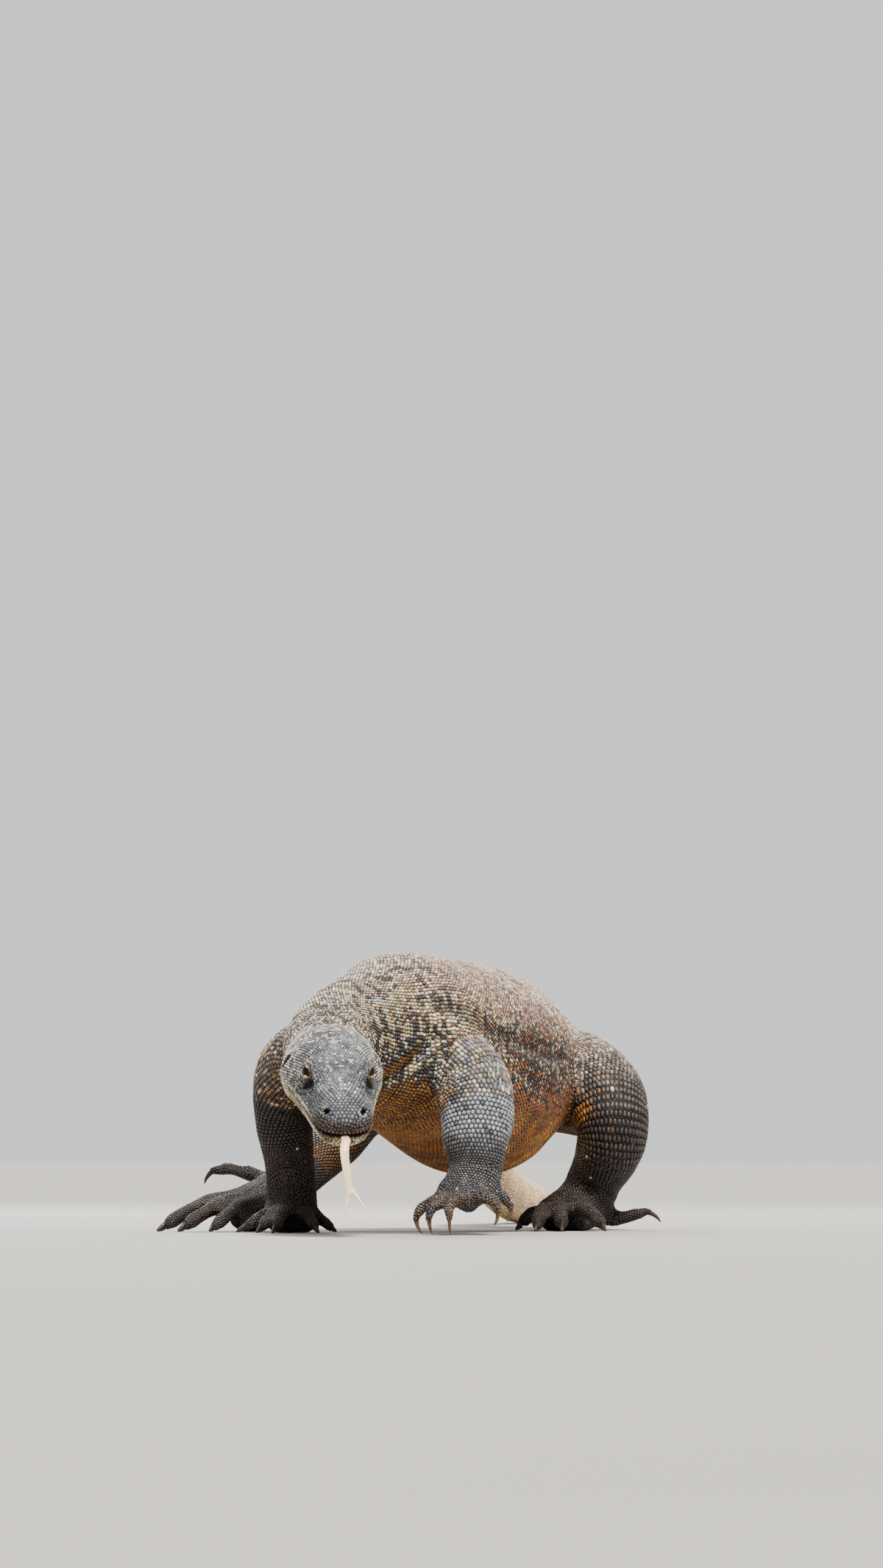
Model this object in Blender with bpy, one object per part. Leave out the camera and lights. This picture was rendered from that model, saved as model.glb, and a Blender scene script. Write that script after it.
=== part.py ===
"""Komodo dragon in mid-stride with its tongue out, about 2.3 m long, as a life-size still model.

The body is made whole: lofted tubes for head, spine, limbs and digits run into each other, a
voxel remesh makes one skin of them, and thin cuts part it into head, jaw, neck, trunk, tail and
limb lengths. Claws, eyes and tongue are solids of their own.

Body axes while modelling: X to the animal's left, Y from the shoulders towards the tail, Z up
from the ground. Everything is moved at the end so that the origin is the middle of the ground
under the animal.
"""

import math
from typing import NamedTuple

import bmesh
import bpy
from mathutils import Matrix, Vector, geometry

# Driving dimensions, in metres.
GAP = 0.0005  # width of each cut between two solids
CRUMB = 0.01  # anything smaller that a cut leaves loose is dropped
KNEE_CUT, WRIST_CUT = 0.070, 0.050  # radius of the cuts across the limbs
ARM_SKIRT, LEG_SKIRT = 0.105, 0.145  # reach of the cut round a limb's root
SKIRT = 0.003  # how far outside the trunk's own surface a limb is cut off
SKIRT_STEP = 0.03  # distance between the rings of that cut
VOXEL = 0.004  # grid of the remesh that joins the flesh
EASING = 5  # rounds of smoothing over the joins
FLESH_TRIANGLES = 3530
BODY_SIDES = 28
LIMB_SIDES = 18
DIGIT_SIDES = 12
DISC_SIDES = 32
RING_STEP = 0.012  # distance between a loft's rings
HEAD_STEP = 0.004
DIGIT_STEP = 0.006
HEAD_SQUARENESS, BODY_SQUARENESS = 2.35, 2.06  # 2 is a true oval
LIMB_UPRIGHT = Vector((0, -1, 0.35)).normalized()  # the limbs' fore side

# The head is laid out from the middle of the upper lip: back along the skull, left and up.
SNOUT = Vector((0.1125, -0.386, 0.1225))
HEAD_TURN = math.radians(27)  # to the animal's left
HEAD_DIP = math.radians(28)  # muzzle below level
HEAD_TAPER = 0.20  # how much narrower the skull's roof is than its cheeks
EYE_BACK, EYE_OUT, EYE_UP = 0.098, 0.0330, 0.0330
EYE_RADIUS = 0.0105
MOUTH_CORNER = 0.128  # back from the lip
MOUTH_LEVEL = -0.003  # below the lip's middle
MOUTH_OPEN = 0.005  # at the front of the mouth

TONGUE_WIDTH = 0.0125
TONGUE_THICK = 0.0034
TONGUE_SIDES = 6
TINE_RINGS = 5
DIGIT_TAPER = (1.32, 0.98)  # of a digit's radius, at its base and at its claw
KNUCKLE = 0.10  # how much a digit swells at its joints
CLAW_SIDES = 6
CLAW_RINGS = 5
CLAW_CURL = math.radians(78)
CLAW_DEEP, CLAW_BROAD = 0.84, 0.62  # of the digit's radius
CLAW_POINT = 0.75  # power by which a claw narrows to its tip
CLAW_TIP = 0.0007  # radius of the blunt tip
TIP_CUT = 0.034  # length of the digit's end cleared for its claw
TIP_REACH = 1.7  # radius of that cut, of the digit's radius
EYE_SEGMENTS, EYE_RINGS = 12, 8


class Section(NamedTuple):
    """One section of a loft: its middle, and its reach to each side, above and below."""

    x: float
    y: float
    z: float
    side: float
    above: float
    below: float


# Head sections in the head's own axes: distance back from the lip, with half width, top and bottom.
HEAD = (
    (0.000, 0.0120, 0.010, 0.0110),
    (0.004, 0.0220, 0.016, 0.0185),
    (0.013, 0.0300, 0.022, 0.0245),
    (0.030, 0.0360, 0.029, 0.0290),
    (0.055, 0.0400, 0.036, 0.0320),
    (0.080, 0.0450, 0.042, 0.0350),
    (0.102, 0.0500, 0.047, 0.0380),
    (0.128, 0.0560, 0.051, 0.0420),
    (0.155, 0.0595, 0.053, 0.0460),
    (0.180, 0.0590, 0.051, 0.0490),
    (0.198, 0.0540, 0.044, 0.0470),
    (0.208, 0.0400, 0.030, 0.0360),
)



class Lump(NamedTuple):
    """An egg of bone or muscle on each side of the head: its middle, its radii and its turns."""

    back: float
    out: float
    up: float
    radii: tuple
    splay: float = 0.0  # its rear end outwards
    pitch: float = 0.0  # its rear end upwards


HEAD_LUMPS = {
    "brow": Lump(EYE_BACK - 0.009, EYE_OUT - 0.003, EYE_UP + 0.0070, (0.027, 0.0100, 0.0050), 0.16, 0.20),
    "lid": Lump(EYE_BACK, EYE_OUT - 0.0035, EYE_UP, (0.0165, 0.0115, 0.0125), 0.16),
    "nostril": Lump(0.024, 0.0235, 0.0175, (0.013, 0.0100, 0.0100), 0.30),
    "jowl": Lump(0.158, 0.044, -0.004, (0.040, 0.0180, 0.030)),
}
THROAT = Lump(0.165, 0.0, -0.038, (0.060, 0.043, 0.020))

# Each cut across the tail: the sections it lies between, its share of the way, and its radius.
TAIL_CUTS = (
    ("vent", "tail_root", 0.15, 0.10),
    ("tail_sink", "tail_front", 0.3, 0.07),
    ("tail_ground", "tail_middle", 0.6, 0.05),
)

# The spine from the back of the skull to the tip of the tail.
SPINE = {
    "skull": Section(0.047, -0.257, 0.198, 0.049, 0.040, 0.046),
    "occiput": Section(0.026, -0.212, 0.219, 0.055, 0.047, 0.055),
    "nape": Section(0.012, -0.165, 0.232, 0.057, 0.055, 0.063),
    "neck": Section(0.012, -0.115, 0.240, 0.064, 0.068, 0.077),
    "throat": Section(0.023, -0.060, 0.242, 0.080, 0.088, 0.098),
    "shoulders": Section(0.034, 0.000, 0.240, 0.107, 0.107, 0.113),
    "chest": Section(0.035, 0.090, 0.232, 0.117, 0.114, 0.118),
    "ribs": Section(0.033, 0.190, 0.222, 0.122, 0.121, 0.132),
    "belly": Section(0.028, 0.290, 0.213, 0.122, 0.127, 0.142),
    "flank": Section(0.020, 0.390, 0.210, 0.113, 0.124, 0.136),
    "loin": Section(0.009, 0.480, 0.210, 0.099, 0.113, 0.112),
    "pelvis": Section(0.000, 0.580, 0.208, 0.084, 0.096, 0.084),
    "vent": Section(-0.036, 0.690, 0.188, 0.066, 0.078, 0.066),
    "tail_root": Section(-0.105, 0.805, 0.158, 0.053, 0.064, 0.055),
    "tail_drop": Section(-0.172, 0.916, 0.131, 0.043, 0.054, 0.048),
    "tail_sink": Section(-0.218, 1.038, 0.102, 0.036, 0.047, 0.043),
    "tail_front": Section(-0.241, 1.168, 0.067, 0.031, 0.041, 0.039),
    "tail_ground": Section(-0.261, 1.310, 0.039, 0.026, 0.035, 0.036),
    "tail_middle": Section(-0.283, 1.472, 0.027, 0.021, 0.028, 0.029),
    "tail_back": Section(-0.314, 1.652, 0.016, 0.013, 0.018, 0.018),
    "tail_tip": Section(-0.347, 1.832, 0.006, 0.005, 0.006, 0.007),
}


class Joint(NamedTuple):
    """A point on a limb's middle line, with the limb's reach across and fore-and-aft there."""

    x: float
    y: float
    z: float
    across: float
    fore: float


LIMBS = {
    "arm_right": (
        Joint(-0.040, 0.010, 0.225, 0.050, 0.055),
        Joint(-0.088, 0.030, 0.222, 0.045, 0.048),
        Joint(-0.128, 0.062, 0.207, 0.038, 0.040),
        Joint(-0.147, 0.086, 0.178, 0.036, 0.037),
        Joint(-0.149, 0.102, 0.135, 0.036, 0.035),
        Joint(-0.146, 0.114, 0.085, 0.032, 0.028),
        Joint(-0.143, 0.114, 0.050, 0.033, 0.026),
        Joint(-0.140, 0.102, 0.018, 0.036, 0.026),
    ),
    "arm_left": (
        Joint(0.060, 0.005, 0.222, 0.050, 0.055),
        Joint(0.105, 0.000, 0.205, 0.052, 0.053),
        Joint(0.136, -0.012, 0.186, 0.051, 0.050),
        Joint(0.153, -0.030, 0.154, 0.047, 0.046),
        Joint(0.157, -0.045, 0.118, 0.043, 0.040),
        Joint(0.160, -0.055, 0.080, 0.034, 0.029),
        Joint(0.152, -0.070, 0.056, 0.033, 0.022),
        Joint(0.142, -0.086, 0.043, 0.031, 0.017),
    ),
    "leg_left": (
        Joint(0.035, 0.590, 0.200, 0.072, 0.070),
        Joint(0.088, 0.550, 0.190, 0.068, 0.068),
        Joint(0.140, 0.495, 0.172, 0.058, 0.058),
        Joint(0.164, 0.470, 0.142, 0.048, 0.049),
        Joint(0.158, 0.475, 0.105, 0.044, 0.044),
        Joint(0.133, 0.492, 0.066, 0.036, 0.036),
        Joint(0.118, 0.488, 0.036, 0.037, 0.033),
        Joint(0.104, 0.436, 0.018, 0.038, 0.019),
    ),
    "leg_right": (
        Joint(-0.035, 0.590, 0.200, 0.070, 0.070),
        Joint(-0.090, 0.545, 0.195, 0.060, 0.062),
        Joint(-0.145, 0.470, 0.180, 0.047, 0.048),
        Joint(-0.168, 0.430, 0.155, 0.039, 0.041),
        Joint(-0.182, 0.385, 0.118, 0.036, 0.036),
        Joint(-0.200, 0.325, 0.080, 0.031, 0.030),
        Joint(-0.212, 0.285, 0.059, 0.031, 0.025),
        Joint(-0.232, 0.212, 0.036, 0.033, 0.019),
    ),
}


class Digit(NamedTuple):
    """A digit from its base in the foot to the root of its claw, and how far its middle rises."""

    base: tuple
    root: tuple
    rise: float
    radius: float
    claw: float  # length along the curve
    droop: float  # degrees below level at the claw's root


DIGITS = {
    "hand_right": (
        Digit((-0.122, 0.104, 0.024), (-0.088, 0.095, 0.0095), 0.005, 0.0088, 0.026, 20),
        Digit((-0.126, 0.090, 0.024), (-0.093, 0.058, 0.0095), 0.007, 0.0092, 0.030, 20),
        Digit((-0.135, 0.083, 0.024), (-0.133, 0.032, 0.0095), 0.008, 0.0094, 0.032, 22),
        Digit((-0.142, 0.087, 0.024), (-0.153, 0.038, 0.0095), 0.008, 0.0092, 0.031, 22),
        Digit((-0.150, 0.097, 0.024), (-0.185, 0.073, 0.0095), 0.006, 0.0088, 0.029, 16),
    ),
    "hand_left": (
        Digit((0.124, -0.078, 0.040), (0.099, -0.092, 0.031), 0.004, 0.0085, 0.033, 62),
        Digit((0.133, -0.090, 0.040), (0.124, -0.117, 0.032), 0.005, 0.0092, 0.034, 58),
        Digit((0.145, -0.090, 0.041), (0.150, -0.122, 0.034), 0.006, 0.0094, 0.036, 58),
        Digit((0.161, -0.080, 0.046), (0.197, -0.090, 0.040), 0.006, 0.0092, 0.031, 55),
        Digit((0.168, -0.058, 0.056), (0.198, -0.046, 0.043), 0.004, 0.0088, 0.030, 55),
    ),
    "foot_left": (
        Digit((0.080, 0.439, 0.020), (0.066, 0.397, 0.0105), 0.006, 0.0100, 0.028, 22),
        Digit((0.091, 0.432, 0.020), (0.102, 0.352, 0.0105), 0.010, 0.0105, 0.032, 22),
        Digit((0.102, 0.431, 0.020), (0.135, 0.349, 0.0105), 0.012, 0.0105, 0.034, 22),
        Digit((0.111, 0.440, 0.020), (0.180, 0.370, 0.0105), 0.012, 0.0105, 0.034, 22),
        Digit((0.122, 0.497, 0.026), (0.186, 0.513, 0.024), -0.010, 0.0095, 0.034, -12),
    ),
    "foot_right": (
        Digit((-0.213, 0.212, 0.034), (-0.222, 0.159, 0.0105), 0.004, 0.0098, 0.028, 22),
        Digit((-0.220, 0.209, 0.038), (-0.249, 0.128, 0.0105), 0.006, 0.0102, 0.031, 22),
        Digit((-0.232, 0.219, 0.042), (-0.286, 0.122, 0.0105), 0.008, 0.0105, 0.034, 22),
        Digit((-0.244, 0.231, 0.045), (-0.318, 0.136, 0.0105), 0.009, 0.0105, 0.035, 22),
        Digit((-0.230, 0.280, 0.060), (-0.300, 0.272, 0.080), 0.004, 0.0095, 0.032, 5),
    ),
}


# Pads of the three planted feet: the middle of each in body axes, and its radii.
SOLES = {
    "hand_right": ((-0.139, 0.102, 0.012), (0.033, 0.031, 0.016)),
    "foot_left": ((0.106, 0.458, 0.012), (0.036, 0.048, 0.017)),
    "foot_right": ((-0.232, 0.205, 0.0155), (0.028, 0.034, 0.019)),
}


class Bend(NamedTuple):
    """A bend of the tongue, measured from where it leaves the lip, and its width there."""

    x: float
    y: float
    z: float
    width: float  # of the tongue's full width


TONGUE_BENDS = (
    Bend(0.0, 0.0, 0.0, 1.0),
    Bend(0.001, -0.008, -0.013, 0.98),
    Bend(0.005, -0.010, -0.038, 0.92),
    Bend(0.009, -0.008, -0.066, 0.95),
)
# Each tine's side of the tongue and its reach from the fork.
TINES = ((-1, Vector((-0.004, -0.004, -0.038))), (1, Vector((0.026, 0.004, -0.037))))


def clear_scene():
    for obj in list(bpy.data.objects):
        bpy.data.objects.remove(obj)


def make_material(name, colour, roughness):
    material = bpy.data.materials.new(name)
    material.use_nodes = True
    shader = material.node_tree.nodes["Principled BSDF"]
    shader.inputs["Base Color"].default_value = (*colour, 1.0)
    shader.inputs["Roughness"].default_value = roughness
    shader.inputs["Metallic"].default_value = 0.0
    return material


def add_object(name, bm, material=None):
    mesh = bpy.data.meshes.new(name)
    bmesh.ops.recalc_face_normals(bm, faces=bm.faces)
    bm.to_mesh(mesh)
    bm.free()
    if material:
        mesh.materials.append(material)
    obj = bpy.data.objects.new(name, mesh)
    bpy.context.scene.collection.objects.link(obj)
    return obj


def catmull_rom(rows, step):
    """Rows of numbers whose first three are a point, filled in smoothly about every step."""
    rows = [list(row) for row in rows]
    first = [2 * a - b for a, b in zip(rows[0], rows[1])]
    last = [2 * a - b for a, b in zip(rows[-1], rows[-2])]
    padded = [first, *rows, last]
    filled = []
    for before, start, stop, after in zip(padded, padded[1:], padded[2:], padded[3:]):
        count = max(1, round(math.dist(start[:3], stop[:3]) / step))
        for i in range(count):
            t = i / count
            weights = (
                -0.5 * t + t * t - 0.5 * t**3,
                1 - 2.5 * t * t + 1.5 * t**3,
                0.5 * t + 2 * t * t - 1.5 * t**3,
                -0.5 * t * t + 0.5 * t**3,
            )
            quad = zip(before, start, stop, after)
            filled.append([sum(w * v for w, v in zip(weights, values)) for values in quad])
    filled.append(rows[-1])
    return filled


def tangents(points):
    steps = [points[max(i - 1, 0)] - points[min(i + 1, len(points) - 1)] for i in range(len(points))]
    return [-step.normalized() for step in steps]


def outline(sides, side, above, below, squareness=2.0, taper=0.0):
    """Points round a section as (across, up): a squarish oval, narrower above by the taper."""
    points = []
    for i in range(sides):
        turn = 2 * math.pi * i / sides
        c = math.copysign(abs(math.cos(turn)) ** (2 / squareness), math.cos(turn))
        s = math.copysign(abs(math.sin(turn)) ** (2 / squareness), math.sin(turn))
        narrowing = 1 - taper * max(s, 0.0)
        points.append((side * c * narrowing, (above if s > 0 else below) * s))
    return points


def loft(name, rings):
    """A closed tube through rings, each a list of points."""
    bm = bmesh.new()
    loops = []
    for ring in rings:
        verts = [bm.verts.new(point) for point in ring]
        loops.append([bm.edges.new((a, b)) for a, b in zip(verts, verts[1:] + verts[:1])])
    for before, after in zip(loops, loops[1:]):
        bmesh.ops.bridge_loops(bm, edges=before + after)
    bmesh.ops.holes_fill(bm, edges=loops[0] + loops[-1], sides=0)
    return add_object(name, bm)


def tube(name, rows, sides, upright, squareness=2.0):
    """A loft through rows of (x, y, z, across, above, below), each section square to the middle line."""
    points = [Vector(row[:3]) for row in rows]
    rings = []
    for point, along, row in zip(points, tangents(points), rows):
        across = along.cross(upright).normalized()
        up = across.cross(along)
        rings.append([point + across * a + up * b for a, b in outline(sides, *row[3:6], squareness)])
    return loft(name, rings)


def head_frame():
    """The head's axes: columns back, left and up, from the middle of the upper lip."""
    level = Vector((-math.sin(HEAD_TURN), math.cos(HEAD_TURN), 0))
    left = Vector((math.cos(HEAD_TURN), math.sin(HEAD_TURN), 0))
    back = level * math.cos(HEAD_DIP) + Vector((0, 0, math.sin(HEAD_DIP)))
    up = Vector((0, 0, math.cos(HEAD_DIP))) - level * math.sin(HEAD_DIP)
    axes = Matrix((back, left, up)).transposed().to_4x4()
    return Matrix.Translation(SNOUT) @ axes


def blob(name, frame, centre, radii, splay=0.0, pitch=0.0):
    """An egg of muscle or bone, its radii along the frame's axes before it is turned."""
    bm = bmesh.new()
    turn = Matrix.Rotation(splay, 4, "Z") @ Matrix.Rotation(-pitch, 4, "Y")
    matrix = frame @ Matrix.Translation(centre) @ turn @ Matrix.Diagonal((*radii, 1.0))
    bmesh.ops.create_uvsphere(bm, u_segments=20, v_segments=12, radius=1.0, matrix=matrix)
    return add_object(name, bm)


def make_head(frame):
    rows = catmull_rom([(back, 0, 0, side, above, below) for back, side, above, below in HEAD], HEAD_STEP)
    rings = []
    for back, _, _, side, above, below in rows:
        taper = HEAD_TAPER * min(1.0, back / EYE_BACK)
        section = outline(BODY_SIDES, side, above, below, HEAD_SQUARENESS, taper)
        rings.append([frame @ Vector((back, a, b)) for a, b in section])
    pieces = [loft("skull", rings)]
    for name, lump in HEAD_LUMPS.items():
        for sign in (-1, 1):
            centre = (lump.back, sign * lump.out, lump.up)
            pieces.append(blob(name, frame, centre, lump.radii, sign * lump.splay, lump.pitch))
    pieces.append(blob("throat", frame, (THROAT.back, THROAT.out, THROAT.up), THROAT.radii))
    return pieces


def make_spine(name="spine", step=RING_STEP, grow=0.0):
    """The tube from the skull to the tail's tip, or one that lies outside it."""
    rows = catmull_rom(list(SPINE.values()), step)
    rows = [(*row[:3], *(value + grow for value in row[3:])) for row in rows]
    return tube(name, rows, BODY_SIDES, Vector((0, 0, 1)), BODY_SQUARENESS)


def make_limbs():
    """The four limbs, from inside the trunk to the middle of the foot."""
    pieces = []
    for name, joints in LIMBS.items():
        rows = [(*joint[:3], joint.across, joint.fore, joint.fore) for joint in joints]
        pieces.append(tube(name, catmull_rom(rows, RING_STEP), LIMB_SIDES, LIMB_UPRIGHT))
    return pieces


def digit_line(digit):
    """Points from a digit's base to its claw's root, bowed up by its rise."""
    base, root = Vector(digit.base), Vector(digit.root)
    count = max(4, round((root - base).length / DIGIT_STEP))
    points = []
    for i in range(count + 1):
        t = i / count
        lift = Vector((0, 0, 4 * digit.rise * t * (1 - t)))
        points.append(base.lerp(root, t) + lift)
    return points


def make_digits():
    pieces = []
    base, tip = DIGIT_TAPER
    for foot, digits in DIGITS.items():
        for number, digit in enumerate(digits, 1):
            points = digit_line(digit)
            rows = []
            for i, point in enumerate(points):
                t = i / (len(points) - 1)
                knuckle = 1 + KNUCKLE * math.cos(4 * math.pi * t)
                radius = digit.radius * (base + (tip - base) * t) * knuckle
                rows.append((*point, radius, radius * 0.95, radius * 0.95))
            pieces.append(tube(f"{foot}_{number}", rows, DIGIT_SIDES, Vector((0, 0, 1))))
    return pieces


def make_soles():
    """The pads of the three planted feet, which bring their soles to the ground."""
    return [blob(f"sole_{foot}", Matrix(), centre, radii) for foot, (centre, radii) in SOLES.items()]


def active_only(obj):
    bpy.ops.object.select_all(action="DESELECT")
    obj.select_set(True)
    bpy.context.view_layer.objects.active = obj


def apply_modifiers(obj):
    graph = bpy.context.evaluated_depsgraph_get()
    mesh = bpy.data.meshes.new_from_object(obj.evaluated_get(graph))
    obj.modifiers.clear()
    obj.data = mesh


def join_flesh(pieces):
    """One closed skin round all the pieces, thinned to the flesh's share of triangles."""
    bpy.ops.object.select_all(action="DESELECT")
    for piece in pieces:
        piece.select_set(True)
    body = pieces[0]
    bpy.context.view_layer.objects.active = body
    bpy.ops.object.join()
    remesh = body.modifiers.new("One skin", "REMESH")
    remesh.mode = "VOXEL"
    remesh.voxel_size = VOXEL
    smooth = body.modifiers.new("Ease the joins", "SMOOTH")
    smooth.iterations = EASING
    apply_modifiers(body)
    thin = body.modifiers.new("Thin", "DECIMATE")
    thin.use_collapse_triangulate = True
    thin.ratio = FLESH_TRIANGLES / (2 * len(body.data.polygons))
    apply_modifiers(body)
    stand_on_ground(body)
    return body


def stand_on_ground(body):
    """Soles and the dragging tail get flats at the ground."""
    bm = bmesh.new()
    bm.from_mesh(body.data)
    bmesh.ops.bisect_plane(
        bm,
        geom=bm.verts[:] + bm.edges[:] + bm.faces[:],
        plane_co=(0, 0, 0),
        plane_no=(0, 0, -1),
        clear_outer=True,
    )
    rim = [edge for edge in bm.edges if edge.is_boundary]
    bmesh.ops.holes_fill(bm, edges=rim, sides=0)
    bm.to_mesh(body.data)
    bm.free()


def disc(name, centre, normal, radius, thickness=GAP):
    """A thin round cutter across a limb or the trunk."""
    bm = bmesh.new()
    turn = Vector(normal).normalized().to_track_quat("Z", "Y").to_matrix().to_4x4()
    matrix = Matrix.Translation(centre) @ turn
    bmesh.ops.create_cone(
        bm,
        cap_ends=True,
        segments=DISC_SIDES,
        radius1=radius,
        radius2=radius,
        depth=thickness,
        matrix=matrix,
    )
    return add_object(name, bm)


def slab(name, frame, low, high):
    """A box between two corners given in the frame's axes."""
    bm = bmesh.new()
    size = Vector(high) - Vector(low)
    middle = (Vector(high) + Vector(low)) / 2
    matrix = frame @ Matrix.Translation(middle) @ Matrix.Diagonal((*size, 1.0))
    bmesh.ops.create_cube(bm, size=1.0, matrix=matrix)
    return add_object(name, bm)


def boolean(obj, cutter, operation="DIFFERENCE"):
    """Applies a cut or union. On the thinned flesh the exact solver drops whole parts."""
    modifier = obj.modifiers.new("Cut", "BOOLEAN")
    modifier.operation = operation
    modifier.object = cutter
    modifier.solver = "MANIFOLD"
    apply_modifiers(obj)
    bpy.data.objects.remove(cutter)


def between(a, b, share=0.5):
    return Vector(a[:3]).lerp(Vector(b[:3]), share)


def along(a, b):
    return Vector(b[:3]) - Vector(a[:3])


def body_cuts():
    """(centre, normal, radius) of every thin cut across the body and limbs."""
    s = SPINE
    cuts = [
        (between(s["occiput"], s["nape"], 0.6), along(s["skull"], s["neck"]), 0.105),
        (between(s["neck"], s["throat"], 0.75), Vector((0, 1, 0)), 0.125),
    ]
    for front, rear, share, radius in TAIL_CUTS:
        cuts.append((between(s[front], s[rear], share), along(s[front], s[rear]), radius))
    for joints in LIMBS.values():
        cuts.append((between(joints[3], joints[4], 0.1), along(joints[2], joints[4]), KNEE_CUT))
        cuts.append((between(joints[5], joints[6], 0.1), along(joints[4], joints[6]), WRIST_CUT))
    return cuts


def make_skirt(centre, reach):
    """A thin shell just outside the trunk, round the root of one limb."""
    skirt = make_spine("skirt", SKIRT_STEP, SKIRT + GAP)
    boolean(skirt, make_spine("inner skirt", SKIRT_STEP, SKIRT))
    boolean(skirt, blob("round", Matrix(), centre, (reach, reach, reach)), "INTERSECT")
    return skirt


def cut_limbs(body):
    for name, joints in LIMBS.items():
        reach = ARM_SKIRT if "arm" in name else LEG_SKIRT
        boolean(body, make_skirt(between(joints[1], joints[2], 0.2), reach))


def claw_direction(digit):
    """Level direction of a digit at its claw."""
    level = Vector(digit.root) - Vector(digit.base)
    level.z = 0
    return level.normalized()


def claw_line(digit):
    """Middle points of a claw: an arc that turns down from its droop, its tip just over the ground."""
    level = claw_direction(digit)
    down = Vector((0, 0, -1))
    start = math.radians(digit.droop)
    points = [Vector(digit.root)]
    step = digit.claw / CLAW_RINGS
    for i in range(CLAW_RINGS):
        angle = start + CLAW_CURL * (i + 0.5) / CLAW_RINGS
        points.append(points[-1] + (level * math.cos(angle) + down * math.sin(angle)) * step)
    lift = max(0.0, CLAW_TIP / 2 - points[-1].z)
    return [point + Vector((0, 0, lift * (i / CLAW_RINGS) ** 2)) for i, point in enumerate(points)]


def make_claw(name, digit, material):
    points = claw_line(digit)
    rows = []
    for i, point in enumerate(points):
        t = i / CLAW_RINGS
        girth = digit.radius * (1 - t) ** CLAW_POINT
        deep = girth * CLAW_DEEP + CLAW_TIP
        broad = girth * CLAW_BROAD + CLAW_TIP
        rows.append((*point, broad, deep, deep))
    claw = tube(name, rows, CLAW_SIDES, claw_upright(points))
    stand_on_ground(claw)
    claw.data.materials.append(material)
    return claw


def claw_upright(points):
    """A direction near up that is never along the claw."""
    level = points[1] - points[0]
    level.z = 0
    return (Vector((0, 0, 1)) + level.normalized() * 0.9).normalized()


def make_claws(body, material):
    """Each claw, and a flat end on its digit a cut's width behind it."""
    claws = []
    for foot, digits in DIGITS.items():
        for number, digit in enumerate(digits, 1):
            points = claw_line(digit)
            forward = (points[1] - points[0]).normalized()
            centre = points[0] + forward * (TIP_CUT / 2 - GAP)
            boolean(body, disc("tip", centre, forward, digit.radius * TIP_REACH, TIP_CUT))
            claws.append(make_claw(f"claw_{foot}_{number}", digit, material))
    return claws


def eyeball(name, centre, radius, material):
    bm = bmesh.new()
    bmesh.ops.create_uvsphere(
        bm,
        u_segments=EYE_SEGMENTS,
        v_segments=EYE_RINGS,
        radius=radius,
        matrix=Matrix.Translation(centre),
    )
    return add_object(name, bm, material)


def make_eyes(frame, head, material):
    """An eyeball on each side, in a socket a cut's width wider."""
    eyes = []
    for side, sign in (("right", -1), ("left", 1)):
        centre = frame @ Vector((EYE_BACK, sign * EYE_OUT, EYE_UP))
        boolean(head, eyeball("socket", centre, EYE_RADIUS + GAP, material))
        eyes.append(eyeball(f"eye_{side}", centre, EYE_RADIUS, material))
    return eyes


def tongue_rows(frame, grow=0.0):
    """Rows of a tube along the tongue: from inside the mouth, over the lower lip, to the fork."""
    level = MOUTH_LEVEL - MOUTH_OPEN / 2
    lip = frame @ Vector((0.006, 0.0, level))
    inside = frame @ Vector((0.034, 0.0, level))
    fall = lip - (frame.to_3x3() @ Vector((1, 0, 0))) * 0.012
    half, thick = TONGUE_WIDTH / 2 + grow, TONGUE_THICK / 2 + grow
    rows = [(*inside, half * 0.85, thick, thick), (*lip, half * 0.95, thick, thick)]
    for bend in TONGUE_BENDS:
        rows.append((*(fall + Vector(bend[:3])), half * bend.width, thick, thick))
    return catmull_rom(rows, RING_STEP)


def tine_rows(start, reach):
    """Rows of a tube that narrows from the fork to one of the tongue's two tips."""
    rows = []
    for i in range(TINE_RINGS + 1):
        t = i / TINE_RINGS
        broad = TONGUE_WIDTH * 0.24 * (1 - t) ** 0.8 + 0.0006
        thick = TONGUE_THICK * 0.45 * (1 - 0.5 * t)
        rows.append((*(start + reach * t), broad, thick, thick))
    return rows


def make_tongue(frame, body, material):
    left = frame.to_3x3() @ Vector((0, 1, 0))
    upright = left.cross(Vector((0, -1, -0.6))).normalized()
    boolean(body, tube("tongue room", tongue_rows(frame, GAP), TONGUE_SIDES, upright))
    rows = tongue_rows(frame)
    tongue = tube("tongue", rows, TONGUE_SIDES, upright)
    fork = Vector(rows[-1][:3]) + Vector((0, 0, 0.007))
    for sign, reach in TINES:
        start = fork + left * sign * TONGUE_WIDTH * 0.20
        boolean(tongue, tube("tine", tine_rows(start, reach), TONGUE_SIDES, upright), "UNION")
    tongue.data.materials.append(material)
    return tongue


def make_mouth(frame, body):
    """Cuts the lower jaw free: a wedge along the mouth, then thin cuts behind the jaw."""
    bm = bmesh.new()
    reach = 0.09
    front = -0.03
    top = MOUTH_LEVEL
    corners = (
        (front, top, top - MOUTH_OPEN * 1.2),
        (MOUTH_CORNER, top + GAP / 2, top - GAP / 2),
    )
    verts = []
    for back, high, low in corners:
        for level in (high, low):
            for across in (-reach, reach):
                verts.append(bm.verts.new(frame @ Vector((back, across, level))))
    bmesh.ops.convex_hull(bm, input=verts)
    boolean(body, add_object("mouth", bm))
    behind = (MOUTH_CORNER - GAP, -reach, -0.075)
    boolean(body, slab("jaw end", frame, behind, (MOUTH_CORNER + GAP / 4, reach, MOUTH_LEVEL)))


def cut_body(body):
    for centre, normal, radius in body_cuts():
        boolean(body, disc("cut", centre, normal, radius))


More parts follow.
